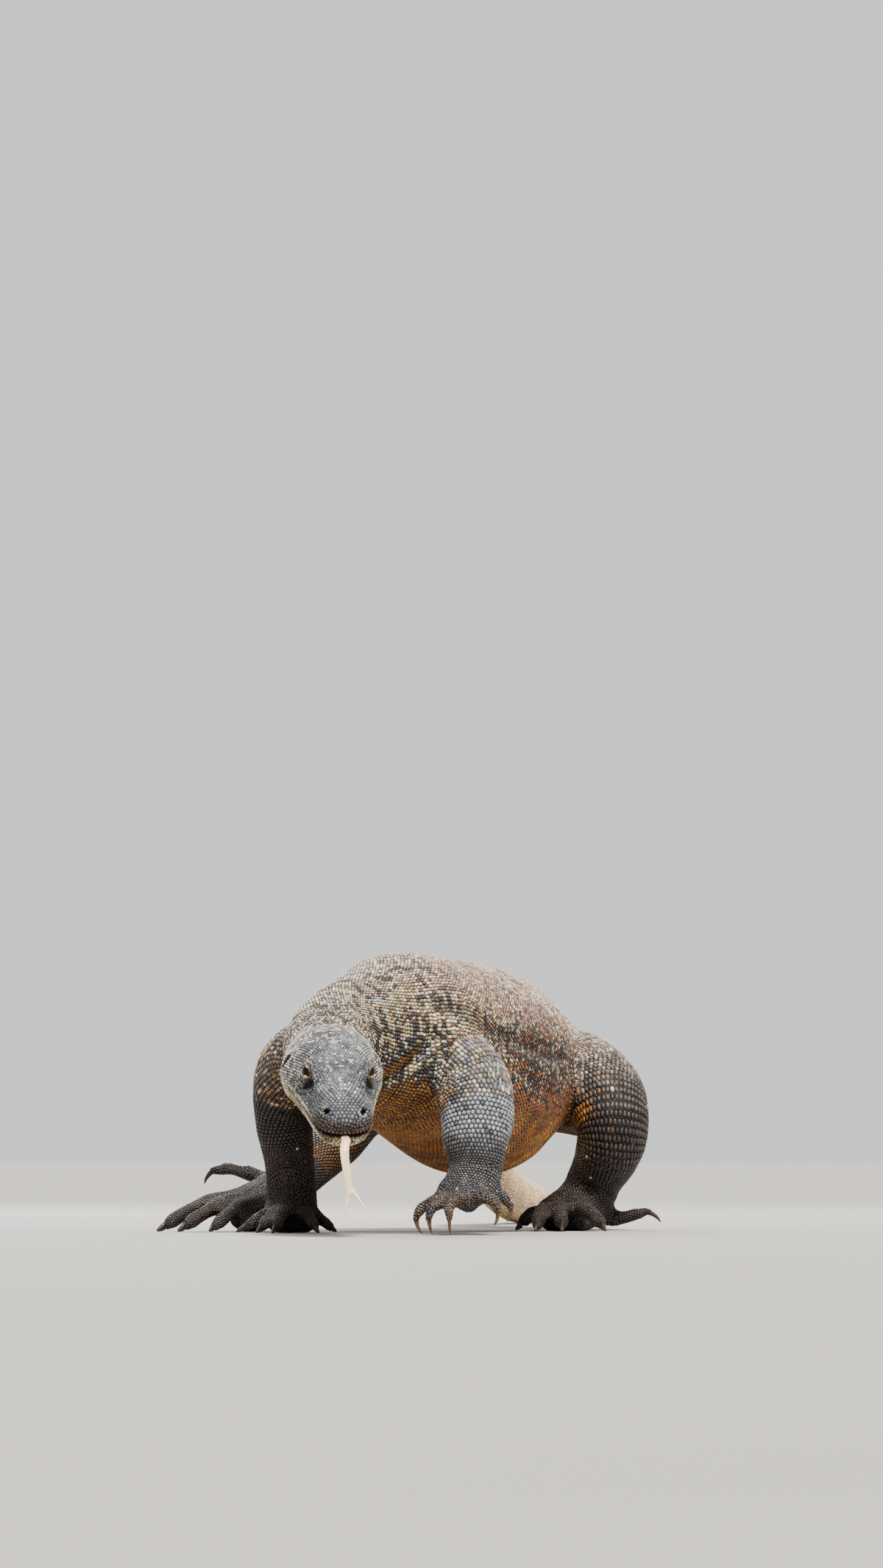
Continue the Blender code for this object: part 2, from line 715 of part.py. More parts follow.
def loose_parts(body):
    active_only(body)
    bpy.ops.object.mode_set(mode="EDIT")
    bpy.ops.mesh.select_all(action="SELECT")
    bpy.ops.mesh.separate(type="LOOSE")
    bpy.ops.object.mode_set(mode="OBJECT")
    parts = list(bpy.context.selected_objects)
    for crumb in [part for part in parts if max(part.dimensions) < CRUMB]:
        parts.remove(crumb)
        bpy.data.objects.remove(crumb)
    return parts


def part_marks(frame):
    """A point well inside each flesh part, by the part's name."""
    s = SPINE
    marks = {
        "head": frame @ Vector((0.11, 0, 0.02)),
        "lower_jaw": frame @ Vector((0.07, 0, -0.016)),
        "neck": between(s["neck"], s["throat"], 0.2),
        "trunk": Vector(s["belly"][:3]),
        "tail_base": between(s["tail_root"], s["tail_drop"], 0.5),
        "tail_middle": between(s["tail_front"], s["tail_ground"], 0.6),
        "tail_end": between(s["tail_middle"], s["tail_back"], 0.5),
    }
    names = {
        "arm_right": ("upper_arm_right", "forearm_right", "hand_right"),
        "arm_left": ("upper_arm_left", "forearm_left", "hand_left"),
        "leg_left": ("thigh_left", "shank_left", "foot_left"),
        "leg_right": ("thigh_right", "shank_right", "foot_right"),
    }
    for limb, (upper, lower, foot) in names.items():
        joints = LIMBS[limb]
        marks[upper] = between(joints[2], joints[3], 0.4)
        marks[lower] = between(joints[4], joints[5], 0.5)
        marks[foot] = between(joints[6], joints[7], 0.6)
    return marks


def name_parts(parts, frame, material):
    """Names each loose part by the mark whose nearest vertex belongs to it."""

    def distance(part):
        return min((vert.co - point).length for vert in part.data.vertices)

    for mark, point in part_marks(frame).items():
        nearest = min(parts, key=distance)
        nearest.name = mark
        nearest.data.name = mark
        nearest.data.materials.clear()
        nearest.data.materials.append(material)
        parts.remove(nearest)


def move_to_origin():
    """Moves the model so that the origin is the middle of the ground under it."""
    corners = []
    for obj in bpy.data.objects:
        corners += [v.co for v in obj.data.vertices]
    low = [min(c[i] for c in corners) for i in range(3)]
    high = [max(c[i] for c in corners) for i in range(3)]
    shift = Vector((-(low[0] + high[0]) / 2, -(low[1] + high[1]) / 2, -low[2]))
    for obj in bpy.data.objects:
        obj.data.transform(Matrix.Translation(shift))


def main():
    clear_scene()
    skin = make_material("Scaly skin", (0.16, 0.14, 0.12), 0.55)
    horn = make_material("Claw horn", (0.05, 0.045, 0.04), 0.35)
    eye = make_material("Eye", (0.05, 0.03, 0.015), 0.08)
    pink = make_material("Tongue", (0.85, 0.72, 0.60), 0.4)
    frame = head_frame()
    pieces = make_head(frame) + [make_spine()] + make_limbs() + make_digits() + make_soles()
    body = join_flesh(pieces)
    make_claws(body, horn)
    make_eyes(frame, body, eye)
    cut_limbs(body)
    cut_body(body)
    make_mouth(frame, body)
    make_tongue(frame, body, pink)
    name_parts(loose_parts(body), frame, skin)
    move_to_origin()


main()
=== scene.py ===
import itertools
import math

import bmesh
import bpy
import numpy as np
from mathutils import Matrix, Vector
from mathutils.bvhtree import BVHTree
from mathutils.kdtree import KDTree


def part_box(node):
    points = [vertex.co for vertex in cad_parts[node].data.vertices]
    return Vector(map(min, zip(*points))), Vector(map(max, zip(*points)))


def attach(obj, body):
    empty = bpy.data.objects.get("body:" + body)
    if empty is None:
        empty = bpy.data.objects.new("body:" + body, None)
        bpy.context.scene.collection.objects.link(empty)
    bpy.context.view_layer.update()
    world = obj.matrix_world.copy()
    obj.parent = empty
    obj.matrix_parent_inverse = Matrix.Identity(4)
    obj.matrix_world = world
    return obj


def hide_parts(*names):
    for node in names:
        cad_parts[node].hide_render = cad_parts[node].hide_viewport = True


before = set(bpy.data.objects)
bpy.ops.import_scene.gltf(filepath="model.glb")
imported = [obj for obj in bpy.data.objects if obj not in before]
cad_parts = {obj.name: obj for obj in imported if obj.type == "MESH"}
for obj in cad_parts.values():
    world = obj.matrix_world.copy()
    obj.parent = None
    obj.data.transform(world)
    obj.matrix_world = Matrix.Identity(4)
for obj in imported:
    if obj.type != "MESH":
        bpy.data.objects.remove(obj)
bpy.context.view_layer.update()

SIDES = ("left", "right")
SPINE_NODES = ("neck", "trunk", "tail_base", "tail_middle", "tail_end")
LIMBS = {"arm": ("upper_arm", "forearm", "hand"), "leg": ("thigh", "shank", "foot")}
DIGITS = (1, 2, 3, 4, 5)
FEET = ("hand_left", "foot_left", "hand_right", "foot_right")

# The skin, in metres.
COAT = 0.0012  # how far the skin lies inside the flesh, for the scales to fill
CLOSING = 0.0006  # swelling that closes the cuts between the nodes
VOXEL = 0.003
SMOOTHING = {
    "trunk": 60, "neck": 45, "tail_base": 40, "tail_middle": 22, "tail_end": 12, "thigh": 36,
    "upper_arm": 26, "shank": 20, "forearm": 20, "hand": 6, "foot": 6, "head": 16, "lower_jaw": 10,
}
BODY_SHARE = 0.13  # of the body's faces kept under the scales
SOLE = 0.0009  # how high the skin's lowest flats stand, with the scales' crowns below them
OUTSIDE = 9.0  # added to a distance where a fold or opening doesn't exist
HASH = np.array([73856093, 19349663, 83492791])  # mixes a cell's three numbers into one

# The head's own frame: back from the snout, out to the animal's left, and up.
HEAD_DIP = math.radians(28)
EYE_BACK, EYE_UP = 0.098, 0.033
MOUTH_LEVEL, MOUTH_CORNER = -0.003, 0.128
NOSTRIL = np.array([0.0160, 0.0215, 0.0205])
NOSTRIL_REACH = 0.0040
EAR = np.array([0.158, 0.050, 0.014])
EYE_CORNERS = (  # the folds that run on from the eye's front and rear corners: back and up
    np.array([[EYE_BACK - 0.0098, EYE_UP - 0.0022], [EYE_BACK - 0.0122, EYE_UP - 0.0052]]),
    np.array([[EYE_BACK + 0.0100, EYE_UP + 0.0015], [EYE_BACK + 0.0230, EYE_UP + 0.0050]]),
)
EYE_PIT = np.array([  # the dark fold below the front corner: back and up
    [EYE_BACK - 0.0150, EYE_UP - 0.0080], [EYE_BACK - 0.0125, EYE_UP - 0.0125],
    [EYE_BACK - 0.0065, EYE_UP - 0.0170],
])
BROW = np.array([  # the ridge over the eye, from the rear to the snout: back, out and up
    [0.150, 0.042, 0.036], [0.124, 0.037, 0.0435], [0.100, 0.032, 0.0460], [0.076, 0.030, 0.0385],
    [0.048, 0.026, 0.029], [0.024, 0.022, 0.0240],
])

rng = np.random.default_rng(11)


# ---------------------------------------------------------------- small tools


def unit(vector):
    vector = np.asarray(vector, float)
    return vector / np.maximum(np.linalg.norm(vector, axis=-1, keepdims=True), 1e-12)


def ramp(value, low, high):
    """0 below low, 1 above high, smooth between."""
    t = np.clip((value - low) / (high - low), 0, 1)
    return t * t * (3 - 2 * t)


def bump(value, middle, reach):
    """1 at the middle, falling smoothly to 0 at reach on each side."""
    return 1 - ramp(np.abs(value - middle), 0, reach)


def cell_values(cells, seed):
    """A number from 0 to 1 for each cell of a lattice, and the whole number it comes from."""
    code = cells @ HASH + seed * 7919
    code = (code ^ (code >> 13)) * 1274126177
    return ((code ^ (code >> 16)) & 65535) / 65535, code


def lattice_noise(points, size, seed=0):
    """Smooth value noise from 0 to 1 with cells of the given size."""
    place = np.asarray(points, float) / size + 91.7 + seed * 17.3
    cell = np.floor(place).astype(np.int64)
    t = place - cell
    t = t * t * (3 - 2 * t)
    total = np.zeros(len(place))
    for corner in range(8):
        step = np.array([corner & 1, corner >> 1 & 1, corner >> 2 & 1])
        total += cell_values(cell + step, seed)[0] * np.prod(np.where(step, t, 1 - t), axis=1)
    return total


def clouds(points, size, seed=0):
    """Noise of three sizes, spread to use most of 0 to 1."""
    shares = (0.55, 0.3, 0.15)
    value = sum(share * lattice_noise(points, size / 2**k, seed + k) for k, share in enumerate(shares))
    return np.clip((value - 0.5) * 1.6 + 0.5, 0, 1)


def off_line(points, stops):
    """How far places are from a line through a few stops."""
    nearest = np.full(len(points), np.inf)
    for here, after in zip(stops, stops[1:]):
        span = after - here
        share = np.clip((points - here) @ span / (span @ span), 0, 1)
        nearest = np.minimum(nearest, np.linalg.norm(points - here - share[:, None] * span, axis=1))
    return nearest


def ripples(value, width):
    """0 on lines width apart, rising to 1 half way between them."""
    return np.abs(np.sin(value / width * math.pi / 2))


def mesh_from(bm, name):
    """A new mesh from a bmesh, which is freed."""
    mesh = bpy.data.meshes.new(name)
    bm.to_mesh(mesh)
    bm.free()
    return mesh


def of_vertices(mesh, what):
    """One vector for each of the mesh's vertices."""
    values = np.empty(len(mesh.vertices) * 3)
    mesh.vertices.foreach_get(what, values)
    return values.reshape(-1, 3)


def mesh_arrays(mesh):
    edges = np.empty(len(mesh.edges) * 2, np.int64)
    mesh.edges.foreach_get("vertices", edges)
    return of_vertices(mesh, "co"), edges.reshape(-1, 2)


def mesh_normals(mesh):
    return of_vertices(mesh, "normal")


def set_points(mesh, points):
    mesh.vertices.foreach_set("co", np.ascontiguousarray(points, float).ravel())
    mesh.update()


def add_piece(name, mesh):
    piece = bpy.data.objects.new(name, mesh)
    bpy.context.scene.collection.objects.link(piece)
    return piece


def modified(piece, **modifiers):
    """The piece's mesh with modifiers applied to it, each given by its kind and its settings."""
    for kind, settings in modifiers.items():
        modifier = piece.modifiers.new(kind, kind)
        for setting, value in settings.items():
            setattr(modifier, setting, value)
    graph = bpy.context.evaluated_depsgraph_get()
    mesh = bpy.data.meshes.new_from_object(piece.evaluated_get(graph))
    old = piece.data
    piece.modifiers.clear()
    piece.data = mesh
    bpy.data.meshes.remove(old)
    return mesh


def node_copy(name, swell=0.0):
    """A merged copy of one CAD node, swollen along its normals."""
    bm = bmesh.new()
    bm.from_mesh(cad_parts[name].data)
    bmesh.ops.remove_doubles(bm, verts=bm.verts, dist=1e-5)
    bmesh.ops.recalc_face_normals(bm, faces=bm.faces)
    bm.normal_update()
    for vert in bm.verts:
        vert.co += vert.normal * swell
    return bm


def node_points(name):
    return of_vertices(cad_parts[name].data, "co")


# ---------------------------------------------------------------- head frame


def middle(node):
    low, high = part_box(node)
    return (low + high) / 2


def head_frame():
    """The head's frame from its two eyes: columns back, left and up, and the snout's tip."""
    left = (middle("eye_left") - middle("eye_right")).normalized()
    level = Vector((0, 0, 1)).cross(left)
    back = level * math.cos(HEAD_DIP) + Vector((0, 0, math.sin(HEAD_DIP)))
    up = Vector((0, 0, math.cos(HEAD_DIP))) - level * math.sin(HEAD_DIP)
    between = (middle("eye_left") + middle("eye_right")) / 2
    axes = np.array([back, left, up])
    return axes, np.array(between - back * EYE_BACK - up * EYE_UP)


HEAD_AXES, SNOUT = head_frame()


def to_head(points):
    return (np.asarray(points) - SNOUT) @ HEAD_AXES.T


def from_head(points):
    return np.asarray(points) @ HEAD_AXES + SNOUT


def half_head(points):
    """Places in the head's frame with both sides laid over the left one."""
    local = to_head(points)
    local[..., 1] = np.abs(local[..., 1])
    return local


def mouth_line(back):
    """The height of the slit between the lips."""
    return MOUTH_LEVEL + 0.0012 * np.sin(back / MOUTH_CORNER * math.pi * 1.5)


def nostril_reach(local):
    """How far a place is from the middle of the nostril, which is drawn out to the rear."""
    return np.linalg.norm((local - NOSTRIL) * np.array([0.8, 1.0, 1.0]), axis=-1)


def ear_reach(local):
    """How far a place is from the middle of the ear's opening, which is drawn out upwards."""
    back, out, up = np.moveaxis(local, -1, 0)
    return np.hypot(back - EAR[0], (up - EAR[2]) * 0.62) + OUTSIDE * (out < 0.03)


def from_fold(local, fold):
    """How far a place is from a fold by the eye, seen from the side."""
    return off_line(local[..., [0, 2]], fold) + OUTSIDE * (local[..., 1] < 0.02)


def from_corners(local):
    return np.minimum(*(from_fold(local, fold) for fold in EYE_CORNERS))


def from_pit(local):
    return from_fold(local, EYE_PIT)


def from_eye(local):
    """How far a place is from the eye's middle, seen from the side."""
    return np.hypot(local[..., 0] - EYE_BACK, local[..., 2] - EYE_UP)


# ---------------------------------------------------------------- skin

EYE_RADIUS = (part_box("eye_left")[1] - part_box("eye_left")[0]).z / 2
LID_LONG, LID_HIGH = 0.0090, 0.0050  # half the opening between the lids
LID_RISE = 0.0004  # the opening's middle above the eye's
LID_THICK = 0.0012
TOE_END, TOE_GIRTH = 0.45, 0.92  # how far a digit's flesh covers its claw, and its thickness over the claw's
CLAW_STOPS = 9  # along a claw's middle line
FLESH = [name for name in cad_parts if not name.startswith(("claw", "eye", "tongue"))]


def claw_line(foot, digit):
    """A claw's middle line from root to tip, and how thick it is there."""
    points = node_points(f"claw_{foot}_{digit}")
    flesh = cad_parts[foot].data
    tree = BVHTree.FromPolygons(
        [vert.co for vert in flesh.vertices], [list(poly.vertices) for poly in flesh.polygons],
    )
    gaps = np.array([tree.find_nearest(Vector(point))[3] for point in points])
    root = points[gaps <= np.quantile(gaps, 0.12)].mean(0)
    reach = np.linalg.norm(points - root, axis=1)
    reach /= reach.max()
    centres, radii = [], []
    for share in np.linspace(0, 1, CLAW_STOPS):
        weight = np.exp(-(((reach - share) / 0.09) ** 2)) + 1e-9
        centre = (points * weight[:, None]).sum(0) / weight.sum()
        centres.append(centre)
        radii.append((np.linalg.norm(points - centre, axis=1) * weight).sum() / weight.sum())
    return np.array(centres), np.array(radii)


def along_claw(centres, share):
    """The place a share of the way along a claw's middle line."""
    shares = np.linspace(0, 1, CLAW_STOPS)
    return Vector([np.interp(share, shares, column) for column in centres.T])


def add_toe_ends(whole):
    """Carries the flesh of each digit a little way over its claw."""
    for foot in FEET:
        for digit in DIGITS:
            centres, radii = claw_line(foot, digit)
            for share in np.linspace(0, TOE_END, 5):
                place = Matrix.Translation(along_claw(centres, share))
                girth = TOE_GIRTH * radii[1] * (1 - 0.25 * share / TOE_END) + COAT
                bmesh.ops.create_icosphere(whole, subdivisions=3, radius=girth, matrix=place)


def joined_flesh():
    """All the flesh as one closed mesh, its cuts closed by a remesh."""
    whole = bmesh.new()
    for name in FLESH:
        mesh = mesh_from(node_copy(name, CLOSING), "part")
        whole.from_mesh(mesh)
        bpy.data.meshes.remove(mesh)
    for side in SIDES:
        place = Matrix.Translation(middle("eye_" + side))
        bmesh.ops.create_icosphere(whole, subdivisions=4, radius=EYE_RADIUS + LID_THICK + COAT, matrix=place)
    add_toe_ends(whole)
    piece = add_piece("skin", mesh_from(whole, "skin"))
    modified(piece, REMESH={"mode": "VOXEL", "voxel_size": VOXEL, "adaptivity": 0})
    drop_crumbs(piece.data)
    return piece


def drop_crumbs(mesh):
    """Keeps only the largest connected part."""
    bm = bmesh.new()
    bm.from_mesh(mesh)
    groups, seen = [], set()
    for seed in bm.verts:
        if seed in seen:
            continue
        group = [seed]
        seen.add(seed)
        for vert in group:
            for edge in vert.link_edges:
                other = edge.other_vert(vert)
                if other not in seen:
                    seen.add(other)
                    group.append(other)
        groups.append(group)
    groups.sort(key=len)
    for group in groups[:-1]:
        bmesh.ops.delete(bm, geom=group, context="VERTS")
    bm.to_mesh(mesh)
    bm.free()


class Owners:
    """Tells which CAD node a place on the skin belongs to."""

    def __init__(self):
        points, faces, owner = [], [], []
        for index, name in enumerate(FLESH):
            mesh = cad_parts[name].data
            start = len(points)
            points += [vert.co for vert in mesh.vertices]
            faces += [[start + k for k in poly.vertices] for poly in mesh.polygons]
            owner += [index] * len(mesh.polygons)
        self.tree = BVHTree.FromPolygons(points, faces)
        self.owner = owner

    def of(self, points):
        return np.array([self.owner[self.tree.find_nearest(point)[2]] for point in points])


OWNERS = Owners()
INDEX = {name: k for k, name in enumerate(FLESH)}


def named(labels, *names):
    """True where the label is one of the nodes whose names start so."""
    wanted = [k for name, k in INDEX.items() if name.startswith(names)]
    return np.isin(labels, wanted)


def neighbour_mean(values, edges):
    ends = np.concatenate((edges[:, 0], edges[:, 1]))
    others = np.concatenate((edges[:, 1], edges[:, 0]))
    count = np.maximum(np.bincount(ends, minlength=len(values)), 1)
    if values.ndim == 1:
        return np.bincount(ends, values[others], len(values)) / count
    return np.stack([np.bincount(ends, values[others, k], len(values)) for k in range(3)], 1) / count[:, None]


def smooth_skin(mesh, labels):
    """Takes the facets off the flesh, more on the body than on the toes, and gives back the lost girth."""
    points, edges = mesh_arrays(mesh)
    rounds = np.zeros(len(points))
    for name, count in SMOOTHING.items():
        rounds[named(labels, name)] = count
    for _ in range(12):
        rounds = neighbour_mean(rounds, edges)
    start, normals = points.copy(), mesh_normals(mesh)
    for turn in range(int(rounds.max())):
        pull = 0.5 * np.clip(rounds - turn, 0, 1)[:, None]
        points = points + pull * (neighbour_mean(points, edges) - points)
    lost = np.einsum("ij,ij->i", start - points, normals)
    for _ in range(30):
        lost = neighbour_mean(lost, edges)
    set_points(mesh, points)
    set_points(mesh, points + mesh_normals(mesh) * lost[:, None])


def thin_body(piece, labels):
    """Fewer faces where only scales show, all of them kept on the head, hands and feet."""
    group = piece.vertex_groups.new(name="body")
    fine = named(labels, "head", "lower_jaw", "neck", "hand", "foot")
    group.add(np.flatnonzero(~fine).tolist(), 1.0, "REPLACE")
    ratio = fine.mean() + (1 - fine.mean()) * BODY_SHARE
    modified(piece, DECIMATE={"ratio": ratio, "vertex_group": "body", "vertex_group_factor": 100})
    piece.vertex_groups.clear()


def refine(mesh, margin):
    """Splits the faces near the head's features."""
    bm = bmesh.new()
    bm.from_mesh(mesh)
    chosen = near_features(np.array([vert.co for vert in bm.verts]), margin)
    edges = [edge for edge in bm.edges if chosen[edge.verts[0].index] and chosen[edge.verts[1].index]]
    bmesh.ops.subdivide_edges(bm, edges=edges, cuts=1, use_grid_fill=True, smooth=0.3)
    bmesh.ops.triangulate(bm, faces=[face for face in bm.faces if len(face.verts) > 4])
    bm.to_mesh(mesh)
    bm.free()


def on_face(points):
    """True on the head and the throat, ahead of the neck."""
    back, left, up = to_head(points).T
    return (back < 0.20) & (back > -0.02) & (np.abs(left) < 0.075) & (np.abs(up) < 0.075)


def on_nape(points):
    """Which points lie where the head runs into the neck."""
    back = to_head(points)[:, 0]
    return (0.145 < back) & (back < 0.30)


def on_hands(points):
    """Which points belong to a hand or a foot, or to the wrist above it."""
    inside = np.zeros(len(points), bool)
    for name in FEET:
        low, high = (np.array(corner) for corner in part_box(name))
        inside |= ((low - 0.012 < points) & (points < high + 0.012)).all(axis=1)
    return inside


def near_features(points, margin):
    """Round the eyes, the nostrils, the ears, the brows and the mouth, with a margin round them."""
    local = half_head(points)
    back, out, up = local.T
    wanted = from_eye(local) < 0.016 + margin
    wanted |= nostril_reach(local) < 0.0085 + margin
    wanted |= ear_reach(local) < 0.013 + margin
    outer = (out > 0.018 + 0.20 * back) | (back < 0.012)
    wanted |= (np.abs(up - mouth_line(back)) < 0.0045 + margin) & (back < MOUTH_CORNER + 0.006) & outer
    if margin:
        wanted |= off_line(local, BROW) < margin
        wanted |= (up < 0.0) & (up > -0.035) & (back > 0.085) & (back < 0.175) & (out > 0.02)
    return on_face(points) & wanted


def eye_axes(side):
    """The eye's centre, and its axes: along the lids, up, and the way it looks."""
    sign = 1 if side == "left" else -1
    centre = np.array(middle("eye_" + side))
    look = unit(sign * HEAD_AXES[1] - 0.25 * HEAD_AXES[0] + 0.22 * HEAD_AXES[2])
    along = unit(HEAD_AXES[0] - np.dot(HEAD_AXES[0], look) * look)
    return centre, along, unit(np.cross(look, along)) * sign, look


EYES = {side: eye_axes(side) for side in SIDES}


def shape_lids(points):
    """Lids that follow the eyeball, with a rim round the opening, and the socket behind the eye."""
    for side in SIDES:
        centre, along, up, look = EYES[side]
        offset = points - centre
        a, u, out = offset @ along, offset @ up, offset @ look
        reach = np.linalg.norm(offset, axis=1)
        opening = np.sqrt((a / LID_LONG) ** 2 + ((u - LID_RISE) / LID_HIGH) ** 2)
        near = (reach < EYE_RADIUS + 0.009) & (out > 0)
        rim = np.exp(-(((opening - 1.16) / 0.15) ** 2))
        wrinkle = 0.0004 * np.sin(opening * 11) * np.exp(-((opening - 1.9) ** 2))
        shell = EYE_RADIUS + LID_THICK * (0.45 + 0.8 * rim) + wrinkle
        hold = 1 - ramp(reach, EYE_RADIUS + 0.003, EYE_RADIUS + 0.009)
        hold = hold * (1 - ramp(opening, 1.7, 2.6))
        wanted = reach + (shell - reach) * hold
        wanted = np.where(opening < 1, EYE_RADIUS - 0.0025, wanted)
        target = centre + unit(offset) * wanted[:, None]
        points[near] = target[near]
    return points


def head_relief(points):
    """How deep the skin of the head is let in: brow, temple, snout, nostrils, ears, mouth and folds."""
    local = half_head(points)
    back, out, up = local.T
    ridge, eye = off_line(local, BROW), from_eye(local)
    away = ramp(ridge, 0.0025, 0.0095)
    depth = 0.0046 * away * bump(out, 0.0, 0.036) * bump(back, 0.105, 0.060) * (up > 0.02)
    depth += 0.0050 * away * bump(up, 0.019, 0.020) * bump(back, 0.064, 0.040) * ramp(out, 0.016, 0.022)
    depth += 0.0018 * bump(from_corners(local), 0.0, 0.0036)
    depth += 0.0034 * bump(from_pit(local), 0.0, 0.0050)
    depth += 0.0026 * away * bump(eye, 0.0150, 0.0075) * (up < EYE_UP + 0.008) * (out > 0.02)
    depth += 0.0022 * away * bump(up, 0.020, 0.014) * bump(back, 0.130, 0.028) * (out > 0.03)
    below = ramp(EYE_UP + 0.004 - up, 0, 0.004) * (out > 0.02)
    depth += 0.0019 * bump(eye, 0.0222, 0.0030) * below * ramp(EYE_BACK + 0.008 - back, 0, 0.008)
    depth += 0.0012 * bump(eye, 0.0285, 0.0030) * below * ramp(EYE_BACK + 0.014 - back, 0, 0.008)
    wave = ripples(up + 0.22 * (back - EYE_BACK), 0.0068)
    cheek = bump(up, 0.010, 0.012) * bump(back, 0.100, 0.050) * ramp(out, 0.026, 0.034)
    depth += 0.0012 * (1 - ramp(wave, 0, 0.45)) * cheek
    nostril = nostril_reach(local)
    depth += 0.0062 * (1 - ramp(nostril, NOSTRIL_REACH * 0.45, NOSTRIL_REACH * 1.05))
    depth -= 0.0010 * bump(nostril, NOSTRIL_REACH * 1.5, 0.0022)
    ear = ear_reach(local)
    depth += 0.0065 * (1 - ramp(ear, 0.0025, 0.0065))
    depth -= 0.0008 * bump(ear, 0.0085, 0.003)
    slit = np.abs(up - mouth_line(back))
    gape = 0.0003 + 0.0008 * ramp(0.035 - back, 0, 0.035)
    mouth = (1 - ramp(slit, gape, gape + 0.0012)) * ramp(MOUTH_CORNER + 0.004 - back, 0, 0.012)
    depth += 0.0030 * mouth
    depth -= 0.0007 * bump(slit, 0.0036, 0.0026) * ramp(MOUTH_CORNER - back, 0, 0.01)
    slant = back * 0.86 + up * 0.50 + 0.004 * lattice_noise(points, 0.018, 6)
    jowl = bump(up, -0.015, 0.020) * bump(back, 0.132, 0.042) * ramp(out, 0.022, 0.030)
    depth += 0.0026 * (1 - ramp(ripples(slant, 0.0105), 0, 0.5)) * jowl
    return depth * on_face(points) * ramp(0.195 - back, 0, 0.02)


def close_lips(points):
    """Draws the lips together along the sides, and leaves them parted at the front."""
    back, _, up = to_head(points).T
    gap = up - mouth_line(back)
    near = on_face(points) & (back < MOUTH_CORNER + 0.012)
    draw = 0.0019 * ramp(back, 0.018, 0.045) * (1 - ramp(np.abs(gap), 0.0025, 0.0100)) * near
    shift = -np.sign(gap) * np.minimum(draw, 0.85 * np.abs(gap))
    return points + shift[:, None] * HEAD_AXES[2]


# Places on the left side of the trunk, as shares of its box.
BLADE = (0.885, 0.045, 0.700)  # the top edge of the shoulder blade
FOLDS = (  # how deep and wide each fold is, and its course
    (0.0062, 0.013, (  # from under the shoulder blade back along the flank
        (0.82, 0.026, 0.764), (0.908, 0.068, 0.720), (0.965, 0.146, 0.658), (0.990, 0.233, 0.596),
        (0.994, 0.352, 0.555), (0.957, 0.492, 0.533),
    )),
    (0.0040, 0.011, (  # below it
        (0.937, 0.076, 0.649), (0.977, 0.175, 0.555), (0.982, 0.292, 0.453), (0.962, 0.416, 0.363),
    )),
    (0.0070, 0.014, (  # in front of the shoulder
        (0.842, 0.021, 0.624), (0.782, -0.002, 0.549), (0.713, -0.024, 0.483), (0.632, -0.045, 0.418),
    )),
)


def on_trunk(shares):
    """Places given as shares of the trunk's box."""
    low, high = (np.array(corner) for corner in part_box("trunk"))
    return low + np.array(shares) * (high - low)


def spine_folds(points, labels, normals):
    """Loose folds round the neck and throat, along the flanks and over the tail's root."""
    y = points[:, 1]
    neck = ramp(-0.62 - y, 0, 0.06) * ramp(y + 0.90, 0, 0.03)
    wander = 0.016 * lattice_noise(points, 0.09, 3) + 0.004 * lattice_noise(points, 0.02, 4)
    wave = ripples(y + wander + 0.12 * (points[:, 2] - 0.2), 0.021)
    crease = (1 - ramp(wave, 0.0, 0.42)) * ramp(lattice_noise(points, 0.06, 5), 0.25, 0.55)
    side = 0.35 + 0.65 * ramp(0.06 - normals[:, 2], 0, 0.5)
    depth = 0.0030 * neck * crease * side
    flank = ramp(y + 0.62, 0, 0.08) * ramp(-0.10 - y, 0, 0.08) * named(labels, "trunk")
    long_fold = ripples(points[:, 2] + 0.03 * lattice_noise(points, 0.12, 8), 0.034)
    lower = bump(normals[:, 2], -0.45, 0.5)
    depth += 0.0034 * flank * (1 - ramp(long_fold, 0, 0.4)) * lower
    cross = ripples(y + 0.02 * lattice_noise(points, 0.07, 9), 0.028)
    depth += 0.0012 * flank * (1 - ramp(cross, 0, 0.3)) * ramp(lattice_noise(points, 0.05, 10), 0.4, 0.7)
    body = named(labels, "trunk", "neck")
    waver = points + 0.010 * (lattice_noise(points, 0.03, 11) - 0.5)[:, None]
    for deep, wide, stops in FOLDS:
        depth += deep * (1 - ramp(off_line(waver, on_trunk(stops)), 0.001, wide)) * body
    return depth


def joint_between(mesh, labels, one, other):
    """The middle of the ring where two nodes meet on the skin."""
    points, edges = mesh_arrays(mesh)
    a, b = labels[edges[:, 0]], labels[edges[:, 1]]
    met = ((a == INDEX[one]) & (b == INDEX[other])) | ((b == INDEX[one]) & (a == INDEX[other]))
    return points[edges[met].ravel()].mean(0)


def bend_creases(mesh, points, labels):
    """Fine creases across each elbow, wrist, knee and ankle."""
    depth = np.zeros(len(points))
    for parts in LIMBS.values():
        for side in SIDES:
            names = [part + "_" + side for part in parts]
            ends = [joint_between(mesh, labels, one, other) for one, other in zip(["trunk"] + names, names)]
            ends.append(points[labels == INDEX[names[-1]]].mean(0))
            for before, bend, after in zip(ends, ends[1:], ends[2:]):
                along = unit(after - before)
                t = (points - bend) @ along
                off = np.linalg.norm(points - bend - t[:, None] * along, axis=1)
                wave = ripples(t + 0.005 * lattice_noise(points, 0.03, 21), 0.0085)
                near = bump(t, 0, 0.034) * (off < 0.075) * named(labels, *names)
                depth += 0.0016 * near * (1 - ramp(wave, 0, 0.45))
    return depth


